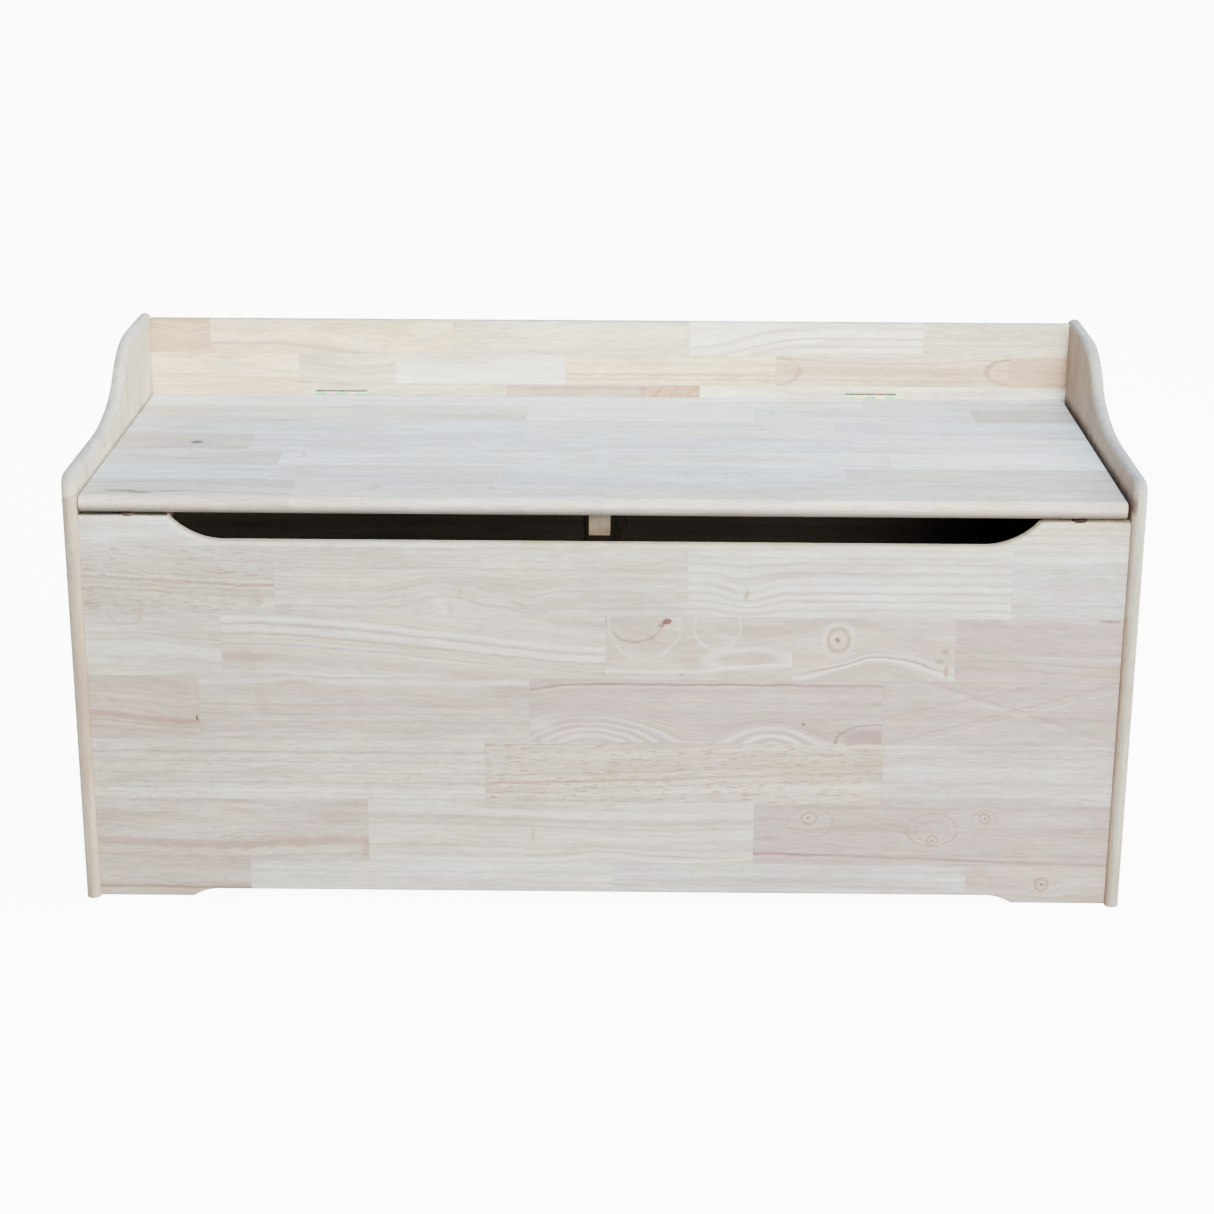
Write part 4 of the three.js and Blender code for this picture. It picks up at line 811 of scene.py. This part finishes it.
def revolve(mesh, profile, centre, axis, segments=32, closed=False):
    """Turns a profile of (radius, place along the axis) about an axis through the centre. A radius of 0 makes
    a single point, and a closed profile joins its end to its start."""
    rings = []
    for radius, height in profile:
        turns = [2 * math.pi * (i + 0.5) / segments for i in range(segments if radius else 1)]
        offsets = [(radius * math.cos(turn), radius * math.sin(turn)) for turn in turns]
        rings.append([point_off(mesh, centre, axis, a, b, height) for a, b in offsets])
    if closed:
        rings.append(rings[0])
    for a, b in zip(rings, rings[1:]):
        for i in range(segments):
            corners = [a[i % len(a)], a[(i + 1) % len(a)], b[(i + 1) % len(b)], b[i % len(b)]]
            mesh.faces.new(list(dict.fromkeys(corners)))
    return rings


def arc(height, radius, rise, start, stop, steps, across=0):
    """Points of a profile on part of an ellipse about (across, height), between two angles in degrees."""
    turns = [math.radians(start + (stop - start) * i / steps) for i in range(steps + 1)]
    return [(across + radius * math.cos(t), height + rise * math.sin(t)) for t in turns]


def solid(name, mesh, node, sharp=32, finish=None):
    """A closed piece in one finish, which is its CAD node's own unless another is given."""
    bmesh.ops.recalc_face_normals(mesh, faces=mesh.faces)
    finish_piece(name, mesh, [finish or FINISHES[NODE_SLOTS[node]]], [node], sharp=sharp)


def middle_of(node):
    return [(a + b) / 2 for a, b in zip(*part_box(node))]


def turned(name, profile, node, axis=X, segments=28, closed=False, **settings):
    """A closed piece made by turning a profile about the middle of its CAD node."""
    mesh = bmesh.new()
    revolve(mesh, profile, middle_of(node), axis, segments, closed)
    solid(name, mesh, node, **settings)


def screw(node):
    """A countersunk screw with a cross recess and a ribbed shank, along the longest side of its CAD node."""
    low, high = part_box(node)
    centre = middle_of(node)
    size = [b - a for a, b in zip(low, high)]
    axis = size.index(max(size))
    head = min(size) / 2
    ends = []
    for end in (low[axis], high[axis]):
        near = [v.co for v in frame["nodes"][node].data.vertices if abs(v.co[axis] - end) < 0.2 * MM]
        ends.append(max((point - Vector(centre)).length for point in near))
    face, tip = (low[axis], high[axis]) if ends[0] > ends[1] else (high[axis], low[axis])
    way = 1 if tip > face else -1
    shank = head * 0.5
    root, crest, ribs = shank * 0.74, shank * 0.98, 9
    neck = face + way * (head - shank + 0.0001)
    profile = [(head, face), (head * 0.97, face + way * 0.0002), (shank, neck)]
    start, stop = neck + way * 0.0006, tip - way * 0.0035
    for i in range(ribs):
        middle = start + (stop - start) * (i + 0.5) / ribs
        half = abs(stop - start) / ribs / 2
        profile += [(root, middle - way * half * 0.8), (crest, middle)]
    profile += [(root, stop), (0, tip)]
    mesh = bmesh.new()
    rim = revolve(mesh, profile, centre, axis, 24)[0]
    arm, long = head * 0.13, head * 0.56
    outline = [(arm, arm), (arm, long), (-arm, long), (-arm, arm), (-long, arm), (-long, -arm)]
    outline += [(-a, -b) for a, b in outline]

    def cross(scale, height):
        return [point_off(mesh, centre, axis, scale * a, scale * b, height) for a, b in outline]

    mouth, floor = cross(1.0, face), cross(0.72, face + way * head * 0.45)
    for i in range(12):
        mesh.faces.new([mouth[i], mouth[(i + 1) % 12], floor[(i + 1) % 12], floor[i]])
    bottom = mesh.faces.new(floor)
    edges = [mesh.edges.get((mouth[i], mouth[(i + 1) % 12])) for i in range(12)]
    edges += [mesh.edges.get((rim[i], rim[(i + 1) % 24])) for i in range(24)]
    bmesh.ops.triangle_fill(mesh, use_beauty=True, edges=edges)
    bmesh.ops.triangulate(mesh, faces=[bottom])
    solid(node + "_turned", mesh, node)


def domed(node, low_rise, high_rise, steps, segments, neck=None):
    """A pin or rivet along X with a domed head at each end, and a neck between the heads if it is given."""
    low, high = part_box(node)
    radius = (high[Y] - low[Y]) / 2
    inner, outer = low[X] + low_rise, high[X] - high_rise
    profile = arc(inner, radius, -low_rise, 90, 0, steps)
    if neck:
        profile += [(neck, inner + 0.00002), (neck, outer - 0.00002)]
    profile += arc(outer, radius, high_rise, 0, 90, steps)
    profile[0], profile[-1] = (0, profile[0][1]), (0, profile[-1][1])
    turned(node + "_domed", profile, node, segments=segments)


def washer(node):
    """A nylon ring with soft edges."""
    low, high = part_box(node)
    outer, soft = (high[Y] - low[Y]) / 2, 0.0003
    one_side = [(BORE, low[X] + soft), (BORE + soft, low[X]), (outer - soft, low[X]), (outer, low[X] + soft)]
    other_side = [(radius, low[X] + high[X] - place) for radius, place in reversed(one_side)]
    turned(node + "_moulded", one_side + other_side, node, segments=40, closed=True, sharp=50)


def lock_nut(node):
    """A hexagon nut with chamfered corners, and the round collar that holds its locking ring."""
    low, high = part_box(node)
    flat, chamfer, collar, soft = (high[Y] - low[Y]) / 2, 0.0005, 0.006, 0.0005
    mesh = bmesh.new()
    shoulder = low[X] + 0.0013
    hexagon = [(BORE, shoulder), (flat * 0.93, shoulder), (flat, shoulder + chamfer)]
    hexagon += [(flat, high[X] - chamfer), (flat * 0.93, high[X]), (BORE, high[X])]
    revolve(mesh, hexagon, middle_of(node), X, 6, closed=True)
    seat = shoulder - 0.00001
    ring = [(BORE, low[X]), (collar - soft, low[X]), (collar, low[X] + soft), (collar, seat), (BORE, seat)]
    revolve(mesh, ring, middle_of(node), X, 32, closed=True)
    solid(node + "_hexagon", mesh, node)


def stud(node):
    """The threaded pin that the stay's arm turns on."""
    low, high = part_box(node)
    radius, soft = (high[Y] - low[Y]) / 2, 0.0003
    root, crest = radius * 0.86, radius * 0.98
    turns, pitch, start = 5, 0.0008, low[X] + 0.0006
    stop = start + turns * pitch
    profile = [(0, low[X]), (radius * 0.78, low[X]), (root, low[X] + 0.0004)]
    for i in range(turns):
        profile += [(root, start + i * pitch), (crest, start + (i + 0.5) * pitch)]
    profile += [(root, stop), (radius, stop + 0.0004), (radius, high[X] - soft), (radius - soft, high[X])]
    turned(node + "_threaded", profile + [(0, high[X])], node)


def bumper(node):
    """A rubber stop with a soft rim and a slightly domed top."""
    low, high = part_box(node)
    radius, rim, soft = (high[X] - low[X]) / 2, 0.0009, 0.0003
    profile = [(0, low[Z]), (radius - soft, low[Z]), (radius, low[Z] + soft)]
    profile += arc(high[Z] - soft - rim, rim, rim, 0, 80, 5, across=radius - rim)
    profile += [(radius * 0.55, high[Z] - 0.0001), (0, high[Z])]
    rubber = CLEAR_RUBBER if node == "bumper_left" else None
    turned(node + "_moulded", profile, node, Z, 40, sharp=50, finish=rubber)


def leaf(node):
    """A hinge leaf: the CAD surface with its film, and a painted shade and painted dark reflection on what
    its knuckles show above the lid.
    """
    mesh = copy_of(node)
    lid_top, up = 0.4524, Vector((0, 0.32, 0.95))
    for face in mesh.faces:
        # Painted shade and painted dark reflection on the knuckle faces above the lid that turn up and back.
        on_top = face.calc_center_median().z > lid_top and face.normal.dot(up) > 0.2
        face.material_index = 1 if on_top else 0
    bmesh.ops.recalc_face_normals(mesh, faces=mesh.faces)
    finish_piece(node + "_pressed", mesh, [LEAF_FILMS[node], KNUCKLE_PAINTED_SHADE], [node], sharp=40)


def shade_inner_face(node):
    """A thin panel with painted shade, dark on the side that faces into the box, and plain on the other."""
    mesh = copy_of(node)
    for face in mesh.faces:
        outside = face.normal.y > SQUARE_ON or face.normal.z < -SQUARE_ON
        face.material_index = 1 if outside else 0
    finish_piece(node + "_lined", mesh, [FINISHES["plywood"], PLAIN_PLY], [node], ease=0.0004)


def pressed(node):
    """A flat part whose CAD shape is right: the same surface, with its curves shaded smoothly."""
    solid(node + "_pressed", copy_of(node), node, sharp=40)


for node in frame["nodes"]:
    if "_screw_" in node:
        screw(node)
    elif node.endswith("_rivet"):
        domed(node, 0.0016, 0.0014, 6, 28, neck=0.003)
    elif node.endswith("_washer"):
        washer(node)
    elif node.startswith("bumper_"):
        bumper(node)
    elif node.endswith("_pin"):
        domed(node, 0.0006, 0.0006, 4, 24)
    elif node in LEAF_FILMS:
        leaf(node)
    elif NODE_SLOTS[node] in ("hinge_metal", "stay_metal"):
        {"stay_lock_nut": lock_nut, "stay_stud": stud}.get(node, pressed)(node)
    elif NODE_SLOTS[node] == "plywood":
        shade_inner_face(node)


# ---- Floor, light and camera.
FULL_WHITE = (1, 1, 1, 1)
SKY, BACKDROP = 0.42, 10.0


def floor():
    """A pale floor, which the camera sees as bright as the backdrop."""
    nodes = Nodes("pale_floor")
    where = nodes.add("TexCoord").outputs["Object"]
    cloud = nodes.noise(where, (0.6, 0.6, 0.6))
    paint = nodes.add("BsdfDiffuse", {"Color": nodes.mix(cloud, rgb(238, 238, 238), rgb(244, 244, 244))})
    seen = nodes.add("LightPath").outputs["Is Camera Ray"]
    glow = nodes.add("Emission", {"Color": FULL_WHITE, "Strength": nodes.math("MULTIPLY", seen, BACKDROP)})
    nodes.output(nodes.add("AddShader", {0: paint.outputs[0], 1: glow.outputs[0]}).outputs[0])
    mesh = bmesh.new()
    bmesh.ops.create_grid(mesh, x_segments=1, y_segments=1, size=60)
    plane = meshed("floor", mesh, [nodes.material])
    plane.location.z = CAD_LOW.z - 0.0005


def softbox(name, place, target, size, power, colour, spread=180):
    """A rectangular lamp that faces a target. The camera doesn't see it."""
    lamp = bpy.data.lights.new(name, "AREA")
    lamp.shape, lamp.energy, lamp.color = "RECTANGLE", power, colour
    lamp.size, lamp.size_y = size
    lamp.spread = math.radians(spread)
    holder = new_object(name, lamp)
    holder.location = place
    holder.rotation_euler = (Vector(target) - Vector(place)).to_track_quat("-Z", "Y").to_euler()
    holder.visible_camera = False


def world():
    """Even light all round, and a bright backdrop above the floor."""
    sky = bpy.data.worlds.new("studio")
    bpy.context.scene.world = sky
    sky.use_nodes = True
    tree = sky.node_tree
    seen = tree.nodes.new("ShaderNodeLightPath").outputs["Is Camera Ray"]
    level = tree.nodes.new("ShaderNodeMapRange")
    level.inputs["To Min"].default_value, level.inputs["To Max"].default_value = SKY, BACKDROP
    background = tree.nodes["Background"]
    background.inputs["Color"].default_value = FULL_WHITE
    tree.links.new(seen, level.inputs["Value"])
    tree.links.new(level.outputs["Result"], background.inputs["Strength"])


def camera():
    """The photo's own view: turned, tilted and rolled from looking level along Y."""
    data = bpy.data.cameras.new("camera")
    data.lens, data.sensor_width, data.clip_end = 76.4, 36, 200
    holder = new_object("camera", data)
    turn = Matrix.Rotation(math.radians(0.60), 4, "Z")
    tilt = Matrix.Rotation(math.radians(-18.58), 4, "X")
    roll = Matrix.Rotation(math.radians(-0.26), 4, "Y")
    upright = Matrix.Rotation(math.radians(90), 4, "X")
    place = Matrix.Translation((0.0311, -2.7747, 1.1927))
    holder.matrix_world = place @ turn @ tilt @ roll @ upright
    bpy.context.scene.camera = holder


floor()
world()
softbox("key", (0.95, -2.5, 1.5), (0, 0, 0.35), (1.3, 1.3), 105, (1.0, 0.924, 0.80))
softbox("right", (3.2, -0.3, 1.9), (0, 0, 0.35), (1.4, 1.4), 110, (1.0, 0.936, 0.818))
softbox("top", (0.2, -0.4, 3.2), (0, 0, 0.4), (2.6, 2.6), 92, (0.457, 0.674, 1.0))
softbox("back", (0.0, 2.4, 2.6), (0, 0, 0.45), (2.4, 2.4), 64, (0.547, 0.75, 1.0))
softbox("strip", (0.15, -2.4, 1.6), (0.05, 0.22, 0.56), (1.7, 0.25), 3.7, (1.0, 0.93, 0.76), spread=13)
camera()
